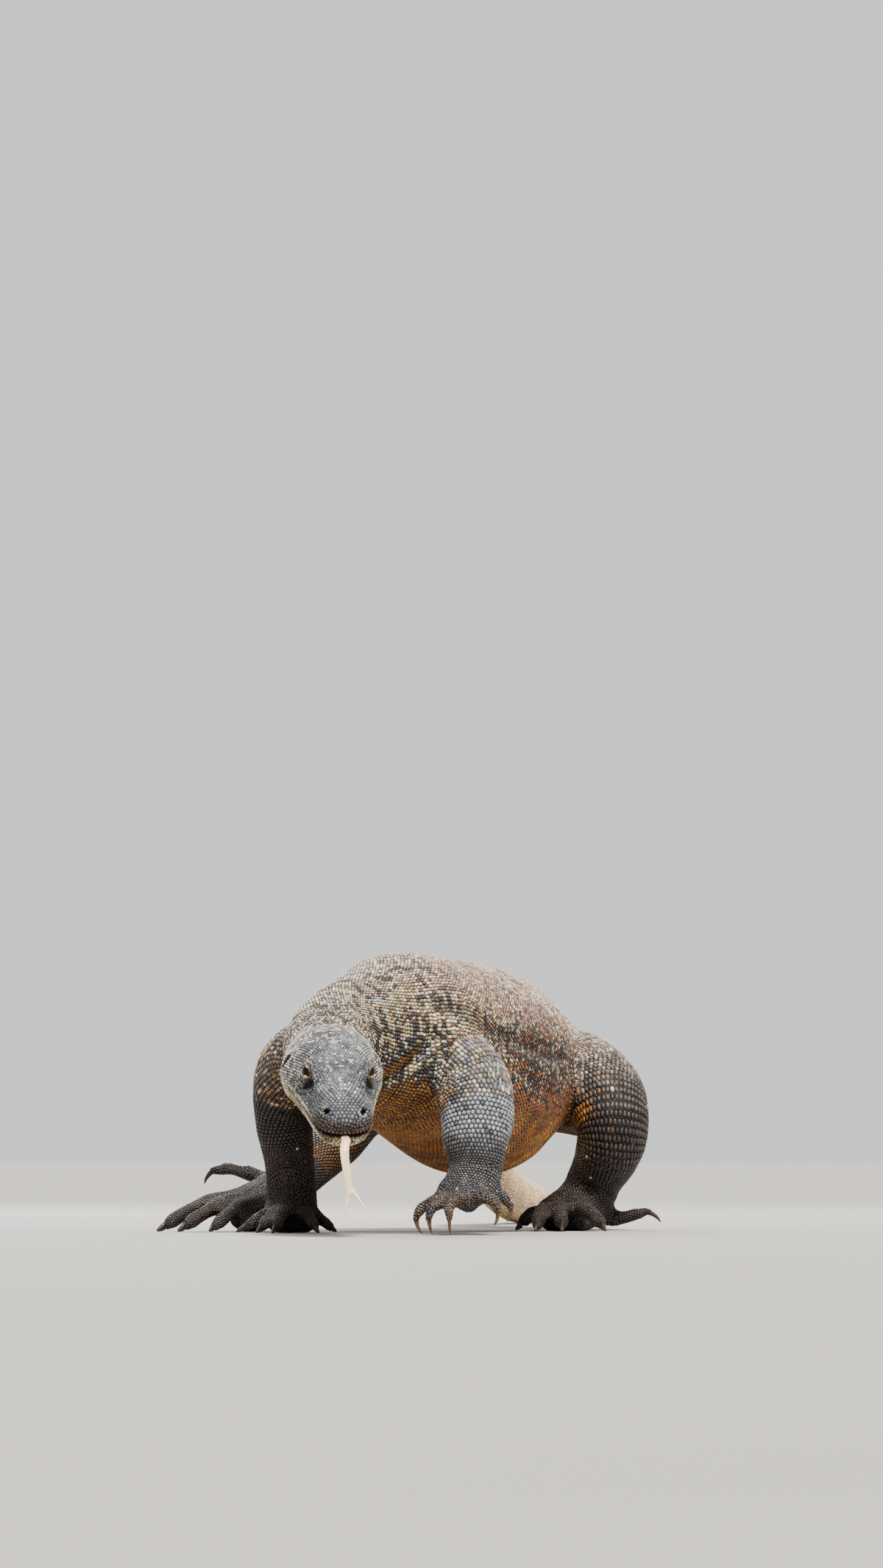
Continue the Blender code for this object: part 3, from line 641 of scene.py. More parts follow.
def make_skin():
    piece = joined_flesh()
    smooth_skin(piece.data, OWNERS.of(of_vertices(piece.data, "co")))
    thin_body(piece, OWNERS.of(of_vertices(piece.data, "co")))
    mesh = piece.data
    refine(mesh, 0.007)
    refine(mesh, 0.0)
    points, edges = mesh_arrays(mesh)
    labels = OWNERS.of(points)
    back = to_head(points)[:, 0]
    pull = 0.5 * (on_face(points) * ramp(0.195 - back, 0, 0.03))[:, None]
    for _ in range(3):
        points = points + pull * (neighbour_mean(points, edges) - points)
    set_points(mesh, points)
    normals = mesh_normals(mesh)
    folds = spine_folds(points, labels, normals) + bend_creases(mesh, points, labels)
    for _ in range(3):
        folds = 0.4 * folds + 0.6 * neighbour_mean(folds, edges)
    depth = COAT + head_relief(points) + folds
    points = shape_lids(close_lips(points - normals * depth[:, None]))
    points[:, 2] = np.maximum(points[:, 2], SOLE)
    set_points(mesh, points)
    mesh.shade_smooth()
    return piece, labels


# ---------------------------------------------------------------- middle lines


def catmull(points, step):
    """A smooth line through the points, with a point about every step."""
    points = np.asarray(points, float)
    padded = np.vstack((2 * points[0] - points[1], points, 2 * points[-1] - points[-2]))
    line = []
    for a, b, c, d in zip(padded, padded[1:], padded[2:], padded[3:]):
        for t in np.linspace(0, 1, max(2, round(np.linalg.norm(c - b) / step)), endpoint=False):
            bend, twist = 2 * a - 5 * b + 4 * c - d, 3 * b - a - 3 * c + d
            line.append(0.5 * (2 * b + (c - a) * t + bend * t**2 + twist * t**3))
    line.append(points[-1])
    return np.array(line)


def spaced(line, pitch):
    """The line again with points pitch(share of the way) apart, and how far along each one is."""
    lengths = np.concatenate(([0], np.cumsum(np.linalg.norm(np.diff(line, axis=0), axis=1))))
    places, at = [], 0.0
    while at < lengths[-1]:
        places.append(at)
        at += pitch(at / lengths[-1])
    places = np.array(places)
    return np.stack([np.interp(places, lengths, line[:, k]) for k in range(3)], 1), places


def line_headings(line, reach):
    """Directions along a line, evened out over a few points so that rows never cross."""
    last = len(line) - 1
    return unit([line[min(i + reach, last)] - line[max(i - reach, 0)] for i in range(len(line))])


def box_line(points, step):
    """A body's middle line from front to rear: the middle of its extent in slices across Y."""
    order = np.floor((points[:, 1] - points[:, 1].min()) / step).astype(int)
    slices = [points[order == slot] for slot in range(order.max() + 1)]
    middles = np.array([(part.min(0) + part.max(0)) / 2 for part in slices if len(part) > 12])
    for _ in range(3):
        middles[1:-1] = 0.25 * middles[:-2] + 0.5 * middles[1:-1] + 0.25 * middles[2:]
    return middles


# ---------------------------------------------------------------- scales laid on the skin

SCALE_KINDS = {}


def scale_kind(name, rear, shoulder, rise):
    """One unit scale that lies along +Y, six-sided, its crown drawn to the rear, closed below.

    With a shoulder it has a flat crown within a steeper rim, and without one it rises to a point.
    """
    bm = bmesh.new()
    bmesh.ops.create_uvsphere(bm, u_segments=6, v_segments=4, radius=0.5)
    low = [vert for vert in bm.verts if vert.co.z < -0.01]
    bmesh.ops.delete(bm, geom=low, context="VERTS")
    bmesh.ops.holes_fill(bm, edges=[edge for edge in bm.edges if edge.is_boundary], sides=0)
    if not shoulder:
        ring = [vert for vert in bm.verts if 0.01 < vert.co.z]
        bmesh.ops.pointmerge(bm, verts=ring, merge_co=(0, 0, 0.5))
    for vert in bm.verts:
        if vert.co.z < 0.01:
            vert.co.z = -0.3
        elif vert.co.z < 0.49:
            vert.co.xy *= 2 * shoulder / math.sqrt(0.5)
            vert.co.y += rear
            vert.co.z = rise
        else:
            vert.co.y += 1.6 * rear
            vert.co.z = 1.0
    bmesh.ops.triangulate(bm, faces=bm.faces)
    bmesh.ops.recalc_face_normals(bm, faces=bm.faces)
    points = np.array([vert.co for vert in bm.verts])
    faces = np.array([[vert.index for vert in face.verts] for face in bm.faces])
    bm.free()
    SCALE_KINDS[name] = (points, faces)


class Coat:
    """Scales already placed, in a grid of cells so that two never share a place."""

    CELL = 0.008

    def __init__(self):
        self.cells = {}
        self.rows = []

    def key(self, point):
        return tuple(int(math.floor(c / self.CELL)) for c in point)

    def free(self, point, reach):
        for cell in itertools.product(*((c - 1, c, c + 1) for c in self.key(point))):
            for other in self.cells.get(cell, ()):
                gap = min(reach, other[3]) if reach < 0.6 * other[3] else 0.5 * (reach + other[3])
                dx, dy, dz = point[0] - other[0], point[1] - other[1], point[2] - other[2]
                if dx * dx + dy * dy + dz * dz < gap * gap:
                    return False
        return True

    def place(self, point, normal, lie, long, broad, high, kind, piece, uv, crowd=0.62):
        """Adds a scale if its place is free."""
        reach = crowd * min(long, broad)
        if self.free(point, reach) and not bare(point):
            self.cells.setdefault(self.key(point), []).append((*point, reach))
            self.rows.append((*point, *normal, *lie, long, broad, high, kind, piece, *uv))


class Skin:
    """The finished skin, for finding places on it."""

    def __init__(self, mesh, labels):
        self.mesh = mesh
        self.points = of_vertices(mesh, "co")
        self.normals = mesh_normals(mesh)
        self.labels = labels
        faces = [list(poly.vertices) for poly in mesh.polygons]
        self.first = [face[0] for face in faces]  # the vertex that gives a face its label
        self.tree = BVHTree.FromPolygons([Vector(point) for point in self.points], faces)

    def hit(self, start, heading, reach):
        """Where a ray from inside leaves the skin: place, outward normal, distance and label."""
        place, normal, face, distance = self.tree.ray_cast(Vector(start), Vector(heading), reach)
        if place is None:
            return None
        return place, normal, distance, self.labels[self.first[face]]


PROBES, REACH = 72, 0.22  # rays tried round a section, and how far they go
STRAY = 1.7  # a ray this much longer than usual has left the body
ROW_SPREAD = 1.12  # scales stand this much further apart round a row than the rows do


def ring_places(skin, centre, heading, upright, pitch, owners, shift):
    """Evenly spaced places round one section of the body, with the share of a turn from the upright."""
    side = unit(np.cross(heading, upright))
    top = np.cross(side, heading)
    turns = np.arange(PROBES) / PROBES * 2 * math.pi
    rays = np.cos(turns)[:, None] * top + np.sin(turns)[:, None] * side
    hits = [skin.hit(centre, ray, REACH) for ray in rays]
    far = np.array([hit[2] if hit else np.nan for hit in hits])
    own = np.array([bool(hit) and hit[3] in owners for hit in hits])
    if own.sum() < PROBES * 0.12:
        return []
    usual = np.median(far[own])
    own &= far < STRAY * usual
    if own.sum() < 4:
        return []
    radius = np.interp(turns, turns[own], far[own], period=2 * math.pi)
    ring = rays * radius[:, None]
    steps = np.linalg.norm(np.roll(ring, -1, 0) - ring, axis=1)
    lengths = np.concatenate(([0], np.cumsum(steps)))
    count = max(5, round(lengths[-1] / pitch))
    stations = (np.arange(count) + shift + 0.14 * (rng.random(count) - 0.5)) / count * lengths[-1]
    angles = np.interp(stations, lengths, np.append(turns, 2 * math.pi))
    places = []
    for angle in angles:
        ray = math.cos(angle) * top + math.sin(angle) * side
        hit = skin.hit(centre, ray, REACH)
        if hit and hit[3] in owners and hit[2] < STRAY * usual:
            places.append((hit[0], hit[1], angle / (2 * math.pi), lengths[-1] / count))
    return places


def lie_on(normal, heading):
    """The heading laid down on the skin."""
    heading = Vector(heading)
    flat = heading - normal * heading.dot(normal)
    return flat.normalized() if flat.length > 1e-6 else normal.orthogonal().normalized()


def lay_rows(skin, coat, line, pitch, owners, piece_of, size, ease, upright=(0, 0, 1), uv_box=(0, 0, 1, 1)):
    """Rows of scales across a body along its middle line.

    pitch(share) is the distance between rows; piece_of(share) names the piece and its part of the line;
    size(share, turn) gives a scale's kind, and its length, breadth and height as shares of its place.
    """
    centres, places = spaced(line, pitch)
    headings = line_headings(centres, ease)
    total = places[-1]
    u0, v0, u1, v1 = uv_box
    before = np.empty((0, 3))
    for i, (centre, heading) in enumerate(zip(centres, headings)):
        share = places[i] / total
        step = pitch(share)
        piece, low, high = piece_of(share)
        ring = ring_places(skin, centre, heading, upright, step * ROW_SPREAD, owners, 0.25 + 0.5 * (i % 2))
        for place, normal, turn, width in ring:
            kind, long, broad, tall = size(share, turn)
            lie = lie_on(normal, heading)
            if len(before):
                offsets = np.array(place) - before
                nearest = offsets[np.argmin((offsets**2).sum(axis=1))]
                long *= min(max(abs(nearest @ np.array(lie)) / step, 0.8), 1.6)
            jitter = 1 + 0.10 * (rng.random() - 0.5)
            swing = Matrix.Rotation(0.16 * (rng.random() - 0.5), 3, normal)
            uv = (u0 + (u1 - u0) * turn, v0 + (v1 - v0) * (share - low) / max(high - low, 1e-6))
            coat.place(
                place, normal, swing @ lie, step * long * jitter, width * broad * jitter,
                step * tall, kind, piece, uv,
            )
        if ring:
            before = np.array([np.array(place) for place, *_ in ring])


def one_piece(piece):
    """For a body whose rows all go into one piece."""
    return lambda share: (piece, 0.0, 1.0)


DIGIT_PITCH = 0.0033
SPINE_PIECES = (
    ("scales_neck", 0.00, 0.085), ("scales_shoulders", 0.085, 0.20), ("scales_ribs", 0.20, 0.32),
    ("scales_loin", 0.32, 0.47), ("scales_tail_front", 0.47, 0.70), ("scales_tail_rear", 0.70, 1.001),
)


def owners_of(*names):
    return {k for name, k in INDEX.items() if name.startswith(names)}


def spine_piece(share):
    for name, low, high in SPINE_PIECES:
        if share < high:
            return name, low, high
    return SPINE_PIECES[-1]


def spine_pitch(share):
    """Smaller scales on the neck than on the back and tail."""
    return 0.0040 + 0.0007 * ramp(share, 0.02, 0.14)


def body_scale(share, turn):
    """Beads on the back and flanks, lower beads under the belly and tail."""
    if abs(turn - 0.5) < 0.13:
        return "bead", 1.26, 1.12, 0.22
    return "bead", 1.28, 1.10, 0.34


def lay_spine(skin, coat):
    owners = owners_of(*SPINE_NODES)
    line = catmull(box_line(skin.points[np.isin(skin.labels, list(owners))], 0.022), 0.004)
    lay_rows(skin, coat, line, spine_pitch, owners, spine_piece, body_scale, ease=5)


def limb_line(skin, parts, side):
    """From the limb's root in the trunk, through its joints, to the middle of the foot."""
    names = [part + "_" + side for part in parts]
    stops = [joint_between(skin.mesh, skin.labels, "trunk", names[0])]
    for here, after in zip(names, names[1:]):
        stops.append(skin.points[skin.labels == INDEX[here]].mean(0))
        stops.append(joint_between(skin.mesh, skin.labels, here, after))
    foot = names[-1]
    claws = [np.array(middle(f"claw_{foot}_{digit}")) for digit in DIGITS]
    end = stops[-1] + 0.42 * (np.mean(claws, 0) - stops[-1])
    below = skin.points[skin.labels == INDEX[foot]]
    near = below[np.linalg.norm(below - end, axis=1) < 0.03]
    if len(near) > 20:
        end = 0.5 * (near.min(0) + near.max(0))
    inside = stops[0] - 0.045 * unit(stops[1] - stops[0])
    return catmull([inside] + stops + [end], 0.004)


def limb_pitch(share):
    return 0.0052 - 0.0016 * ramp(share, 0.66, 0.84)


def limb_scale(share, turn):
    """Flat cobbles down to the wrist or ankle, beads over the foot."""
    if share > 0.84:
        return "bead", 1.22, 1.08, 0.32
    return "cobble", 1.26, 1.10, 0.27


def lay_limbs(skin, coat):
    for limb, parts in LIMBS.items():
        for side in SIDES:
            lay_rows(
                skin, coat, limb_line(skin, parts, side), limb_pitch,
                owners_of(*[part + "_" + side for part in parts]), one_piece(f"scales_{limb}_{side}"),
                limb_scale, ease=6, upright=(0, -1, 0.3), uv_box=(0.0, 0.0, 0.44, 1.0),
            )


def claw_root(skin, claw):
    """The middle of a claw's root, and the way back from it into the digit."""
    points = node_points(claw)
    gaps = np.array([skin.tree.find_nearest(Vector(point))[3] for point in points])
    root = points[gaps <= np.quantile(gaps, 0.25)].mean(0)
    near = skin.points[np.linalg.norm(skin.points - root, axis=1) < 0.020]
    return root, unit(near.mean(0) - root)


def digit_line(skin, claw):
    """Follows the middle of a digit back from its claw until it widens into the foot."""
    at, heading = claw_root(skin, claw)
    line, usual = [], None
    at = at + heading * 0.002
    for _ in range(30):
        side = unit(np.cross(heading, (0, 0, 1)))
        top = np.cross(side, heading)
        hits = []
        for turn in np.arange(16) / 16 * 2 * math.pi:
            hit = skin.hit(at, math.cos(turn) * top + math.sin(turn) * side, 0.05)
            if hit:
                hits.append((*hit[0], hit[2]))
        if len(hits) < 12:
            break
        hits = np.array(hits)
        girth = np.median(hits[:, 3])
        usual = usual or girth
        if girth > 1.45 * usual:
            break
        usual = 0.8 * usual + 0.2 * min(girth, 1.1 * usual)
        close = hits[hits[:, 3] < 1.6 * girth][:, :3]
        centre = 0.5 * at + 0.5 * close.mean(0)
        if line:
            heading = unit(0.7 * heading + 0.3 * unit(centre - line[-1]))
        line.append(centre)
        at = centre + heading * 0.004
    return np.array(line)


def digit_scale(share, turn):
    """Broad bars across the top of a digit, beads round the rest."""
    if turn < 0.22 or turn > 0.78:
        return "plate", 0.94, 1.34, 0.36
    return "bead", 1.16, 1.06, 0.28


def lay_digits(skin, coat):
    for limb, parts in LIMBS.items():
        for side in SIDES:
            foot = parts[-1] + "_" + side
            for digit in DIGITS:
                line = digit_line(skin, f"claw_{foot}_{digit}")
                if len(line) < 3:
                    continue
                start = 0.46 + (digit - 1) * 0.09
                lay_rows(
                    skin, coat, catmull(line[::-1], 0.002), lambda share: DIGIT_PITCH, owners_of(foot),
                    one_piece(f"scales_{limb}_{side}"), digit_scale, ease=2,
                    uv_box=(start, 0.0, start + 0.08, 0.7),
                )


def eye_opening(point, side):
    """How far outside the lids' opening a place is: 1 on its edge, growing outwards."""
    centre, along, up, look = EYES[side]
    offset = np.asarray(point) - centre
    if offset @ look < 0 or np.linalg.norm(offset) > EYE_RADIUS + 0.012:
        return OUTSIDE
    return math.hypot(offset @ along / LID_LONG, (offset @ up - LID_RISE) / LID_HIGH)


def bare(point):
    """True where the head has no scales: the eyes, nostrils, ear holes and inside the mouth."""
    local = half_head(point)
    back, out, up = local
    if back > 0.19 or back < -0.01:
        return False
    if any(eye_opening(point, side) < 1.22 for side in SIDES):
        return True
    if nostril_reach(local) < NOSTRIL_REACH or ear_reach(local) < 0.0062:
        return True
    lips = 0.0009 + 0.0018 * max(0.0, 1 - back / 0.038)
    if abs(up - mouth_line(back)) < lips and back < MOUTH_CORNER + 0.002:
        return True
    inner = out < 0.012 + 0.20 * back and back > 0.010
    return inner and -0.0095 < up - MOUTH_LEVEL < 0.004 and back < MOUTH_CORNER


# Each row of lip scales: its node, its height over the slit, and its place on the map.
LIP_ROWS = (("head", 0.0036, 0.92), ("lower_jaw", -0.0040, 0.96))
LIP_PITCH = 0.0046


def lay_lips(skin, coat):
    """One row of lip scales above the mouth and one below."""
    turns = np.radians(np.arange(-179, 180, 1.5))
    rays = -np.cos(turns)[:, None] * HEAD_AXES[0] + np.sin(turns)[:, None] * HEAD_AXES[1]
    for owner, level, across in LIP_ROWS:
        centre = from_head([0.062, 0, MOUTH_LEVEL + level])
        hits = [skin.hit(centre, ray, 0.12) for ray in rays]
        places = [
            (np.array(hit[0]), hit[1]) for hit in hits
            if hit and hit[3] == INDEX[owner] and to_head(hit[0])[0] < MOUTH_CORNER - 0.002
        ]
        walked = 0.0
        for (here, _), (after, normal) in zip(places, places[1:]):
            gap = np.linalg.norm(after - here)
            walked += gap
            if gap < 0.02 and walked >= LIP_PITCH:
                walked = 0.0
                lie = lie_on(normal, unit(after - here))
                uv = (0.5 + 0.45 * to_head(after)[1] / 0.06, across)
                coat.place(Vector(after), normal, lie, 0.0045, 0.0042, 0.0011, "plate", "scales_head", uv)


# Each ring of lid scales: its size as a multiple of the opening's, and its scales' length.
LID_RINGS = ((1.36, 0.0018), (1.72, 0.0021), (2.12, 0.0024))


def lay_lids(skin, coat):
    """Rings of fine scales round each eye."""
    for side, start in zip(SIDES, (0.25, 0.75)):
        centre, along, up, look = EYES[side]
        for ring, (grow, size) in enumerate(LID_RINGS):
            count = round(math.pi * (LID_LONG + LID_HIGH) * grow / size * 0.98)
            for k in range(count):
                turn = (k + 0.5 * (ring % 2)) / count * 2 * math.pi
                a, u = LID_LONG * grow * math.cos(turn), LID_HIGH * grow * math.sin(turn) + LID_RISE
                out = math.sqrt(max(EYE_RADIUS**2 - a * a - u * u, 1e-8))
                place, normal, *_ = skin.tree.find_nearest(Vector(centre + a * along + u * up + out * look))
                around = -LID_LONG * math.sin(turn) * along + LID_HIGH * math.cos(turn) * up
                uv = (start + 0.02 * ring * math.cos(turn), 0.985 + 0.01 * math.sin(turn))
                lie = lie_on(normal, around)
                coat.place(place, normal, lie, size, size * 0.92, size * 0.34, "grain", "scales_head", uv)


def head_scale(share, turn):
    """Flat cobbles, broader and lower on the crown."""
    if (turn < 0.16 or turn > 0.84) and share < 0.5:
        return "cobble", 1.28, 1.12, 0.25
    return "cobble", 1.25, 1.08, 0.28


HEAD_ROWS = (  # node, the middle line in the head's frame, and the strip on the map
    (
        "head", ([0.006, 0, 0.005], [0.04, 0, 0.008], [0.10, 0, 0.012], [0.15, 0, 0.006], [0.21, 0, 0.0]),
        (0.02, 0.70),
    ),
    ("lower_jaw", ([0.008, 0, -0.016], [0.06, 0, -0.021], [0.124, 0, -0.024]), (0.72, 0.90)),
)


def head_pitch(share):
    return 0.0043 - 0.0012 * ramp(share, 0.12, 0.40) + 0.0010 * ramp(share, 0.70, 1.0)


def head_piece(share):
    return ("scales_head" if share < 0.68 else "scales_nape"), 0.0, 1.0


def lay_head(skin, coat):
    for node, stops, (low, high) in HEAD_ROWS:
        lay_rows(
            skin, coat, catmull(from_head(stops), 0.004), head_pitch, owners_of(node), head_piece, head_scale,
            ease=1, upright=HEAD_AXES[2], uv_box=(0, low, 1, high),
        )


FILL_CROWD = 0.75  # how far a filling scale keeps from others, as a share of its size
FILLS = (
    (90000, 20000, 0.9, on_hands, "bead"), (60000, 20000, 0.95, on_nape, "bead"),
    (60000, 20000, 0.85, on_face, "bead"), (235000, 60000, 0.8, None, "grain"),
    (260000, 60000, 0.55, None, "grain"), (90000, 20000, 0.5, on_face, "grain"),
)


def spots_on(skin, count, only):
    """Places spread at random over the skin, or over the part where only holds, with their normals."""
    skin.mesh.calc_loop_triangles()
    corners = np.empty(len(skin.mesh.loop_triangles) * 3, np.int64)
    skin.mesh.loop_triangles.foreach_get("vertices", corners)
    corners = corners.reshape(-1, 3)
    a, b, c = (skin.points[corners[:, k]] for k in range(3))
    cross = np.cross(b - a, c - a)
    areas = np.linalg.norm(cross, axis=1)
    if only is not None:
        areas *= only(a)
    picked = rng.choice(len(corners), count, p=areas / areas.sum())
    s, t = np.sqrt(rng.random(count))[:, None], rng.random(count)[:, None]
    places = (1 - s) * a[picked] + s * (1 - t) * b[picked] + s * t * c[picked]
    return places, unit(cross)[picked]


def fill_gaps(skin, coat, tries, share, only, kind):
    """Smaller scales wherever rows of different bodies meet and leave skin bare."""
    rows = list(coat.rows)
    tree = KDTree(len(rows))
    for k, row in enumerate(rows):
        tree.insert(row[:3], k)
    tree.balance()
    for spot, normal in zip(*spots_on(skin, tries, only)):
        _, nearest, gap = tree.find(spot)
        row = rows[nearest]
        size = share * min(row[9:11])
        if gap < 0.5 * size or not coat.free(spot, FILL_CROWD * size) or bare(spot):
            continue
        offset = spot - np.array(row[:3])
        lie = np.array(row[6:9])
        across = np.cross(lie, row[3:6])
        uv = (row[14] + 0.8 * offset @ across, row[15] + 0.8 * offset @ lie)
        normal = Vector(normal)
        high = row[11] * (0.5 + 0.4 * share)
        coat.place(
            Vector(spot), normal, lie_on(normal, lie), size, size, high, kind, row[13], uv, crowd=FILL_CROWD,
        )


# ---------------------------------------------------------------- markings

PAINTS = {
    "charcoal": (0.042, 0.038, 0.036),
    "black": (0.012, 0.011, 0.011),
    "dusk": (0.032, 0.027, 0.027),
    "slate": (0.078, 0.084, 0.095),
    "slate_light": (0.31, 0.32, 0.335),
    "cream": (0.64, 0.57, 0.39),
    "straw": (0.44, 0.39, 0.20),
    "bone": (0.66, 0.57, 0.45),
    "pinkish": (0.30, 0.205, 0.155),
    "rust": (0.33, 0.118, 0.034),
    "ochre": (0.38, 0.158, 0.030),
    "gold": (0.50, 0.275, 0.080),
    "sand": (0.62, 0.44, 0.26),
    "brown": (0.075, 0.045, 0.030),
    "olive": (0.24, 0.20, 0.105),
    "horn": (0.15, 0.095, 0.055),
    "mouth": (0.22, 0.020, 0.016),
}
FLECK = 0.0036  # about one scale


def layered(colour, *layers):
    """The colour under layers of paint, each given by the paint's name and how much of it shows."""
    for paint, share in layers:
        colour = colour + (np.array(PAINTS[paint]) - colour) * np.clip(share, 0, 1)[:, None]
    return colour


def plain(paint, count):
    return np.tile(np.array(PAINTS[paint]), (count, 1))


def flecks(points, chance, seed):
    """More than half on scattered single scales, as many as chance says, and 0 elsewhere."""
    value, code = cell_values(np.floor(points / FLECK).astype(np.int64), seed)
    return (value < chance) * (0.55 + 0.45 * ((code >> 5) & 255) / 255)


def head_markings(points):
    """Slate with scattered bone flecks, cream cheeks and jaws, dark folds round the eyes; painted shade in
    black in the hollow before each eye, deep in the fold below it, inside the lids' opening, in the nostrils
    and ear holes and in the mouth's slit.
    """
    local = half_head(points)
    back, out, up = local.T
    ridge, eye = off_line(local, BROW), from_eye(local)
    rear = ramp(back, 0.115, 0.175)
    bones = 0.08 + 0.20 * ramp(clouds(points, 0.022, 33), 0.5, 0.85) + 0.12 * rear
    bones *= ramp(ridge, 0.003, 0.009) * (0.15 + 0.85 * ramp(back, 0.035, 0.070))
    temple = ramp(0.028 - up, 0, 0.012) * ramp(out, 0.020, 0.032)
    muzzle = ramp(0.038 - back, 0, 0.016) * ramp(0.016 - up, 0, 0.008)
    cheek = ramp(out, 0.034, 0.046) * ramp(back, 0.095, 0.14)
    lip = bump(up, mouth_line(back) + 0.0022, 0.0045) * ramp(back, 0.03, 0.07)
    colour = layered(
        plain("slate", len(points)),
        ("slate_light", 0.60 * ramp(clouds(points, 0.020, 31), 0.2, 0.9) + 0.30 * flecks(points, 0.4, 30)),
        ("charcoal", 0.60 * flecks(points, 0.20, 32)),
        ("bone", 0.9 * flecks(points, bones, 5)),
        ("charcoal", 0.7 * flecks(points, 0.28 * rear, 66)),
        ("charcoal", 0.55 * temple * ramp(0.15 - back, 0, 0.03)),
        ("brown", 0.90 * muzzle),
        ("dusk", 0.45 * muzzle),
        ("cream", 0.8 * cheek * flecks(points, 0.28, 6)),
        ("cream", 0.65 * lip * (0.4 + 0.6 * flecks(points, 0.6, 35))),
    )
    under = layered(
        plain("cream", len(points)),
        ("olive", 0.5 * ramp(clouds(points, 0.013, 36), 0.35, 0.7)),
        ("horn", 0.75 * ramp(clouds(points, 0.010, 37), 0.58, 0.72)),
        ("charcoal", 0.5 * flecks(points, 0.18, 38)),
    )
    jaw = ramp(mouth_line(back) - 0.001 - up, 0, 0.003) * ramp(0.19 - back, 0, 0.05)
    hollow = bump(eye, 0.0150, 0.0080) * (up < EYE_UP + 0.007) * ramp(ridge, 0.002, 0.006) * (out > 0.02)
    pit = bump(from_pit(local), 0.0, 0.0090)
    colour = layered(
        colour + (under - colour) * jaw[:, None],
        # painted shade: black in the carved hollow before and below the eye
        ("black", 0.65 * hollow * ramp(EYE_BACK + 0.006 - back, 0, 0.01)),
        ("sand", 0.9 * bump(from_corners(local), 0.0, 0.0045)),
        # the fold below the eye's front corner: dark brown as its own colour, then black deep in it as
        # painted shade
        ("brown", 0.9 * pit),
        ("black", 0.95 * ramp(pit, 0.25, 0.6)),
    )
    for centre, along, high, look in EYES.values():
        offset = points - centre
        near = (np.linalg.norm(offset, axis=1) < EYE_RADIUS + 0.008) & (offset @ look > 0)
        opening = np.hypot(offset @ along / LID_LONG, offset @ high / LID_HIGH)
        ring = near * bump(opening, 1.35, 0.55)
        lower = ramp(0.001 - offset @ high, 0, 0.002)
        colour = layered(
            colour, ("brown", 0.5 * ring), ("sand", ring * (0.45 + 0.45 * lower)),
            # painted shade: black on the skin inside the lids' opening, behind the eyeball
            ("black", 0.9 * near * (opening < 1.0)),
        )
    nostril = nostril_reach(local)
    rim = bump(nostril, NOSTRIL_REACH * 1.55, 0.0026)
    front = ramp(0.040 - back, 0, 0.030)
    slit = np.abs(up - mouth_line(back))
    gape = 0.0003 + 0.0009 * front
    inside = (1 - ramp(slit, gape, gape + 0.0006)) * (back < MOUTH_CORNER + 0.003)
    return layered(
        colour,
        ("sand", 0.20 * rim * flecks(points, 0.7, 39)),
        # painted shade: black inside the nostrils and the ear holes
        ("black", 1 - ramp(nostril, NOSTRIL_REACH * 0.75, NOSTRIL_REACH * 1.15)),
        ("black", 1 - ramp(ear_reach(local), 0.003, 0.0065)),
        ("brown", 0.85 * front * bump(slit, 0.0035, 0.0030)),
        # in the slit between the lips: black as painted shade, and the mouth's own red towards the front
        ("black", 0.8 * inside),
        ("mouth", inside * front),
    )


def along_trunk(points):
    """0 at the trunk's front end and 1 at its rear."""
    low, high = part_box("trunk")
    return (points[:, 1] - low.y) / (high.y - low.y)


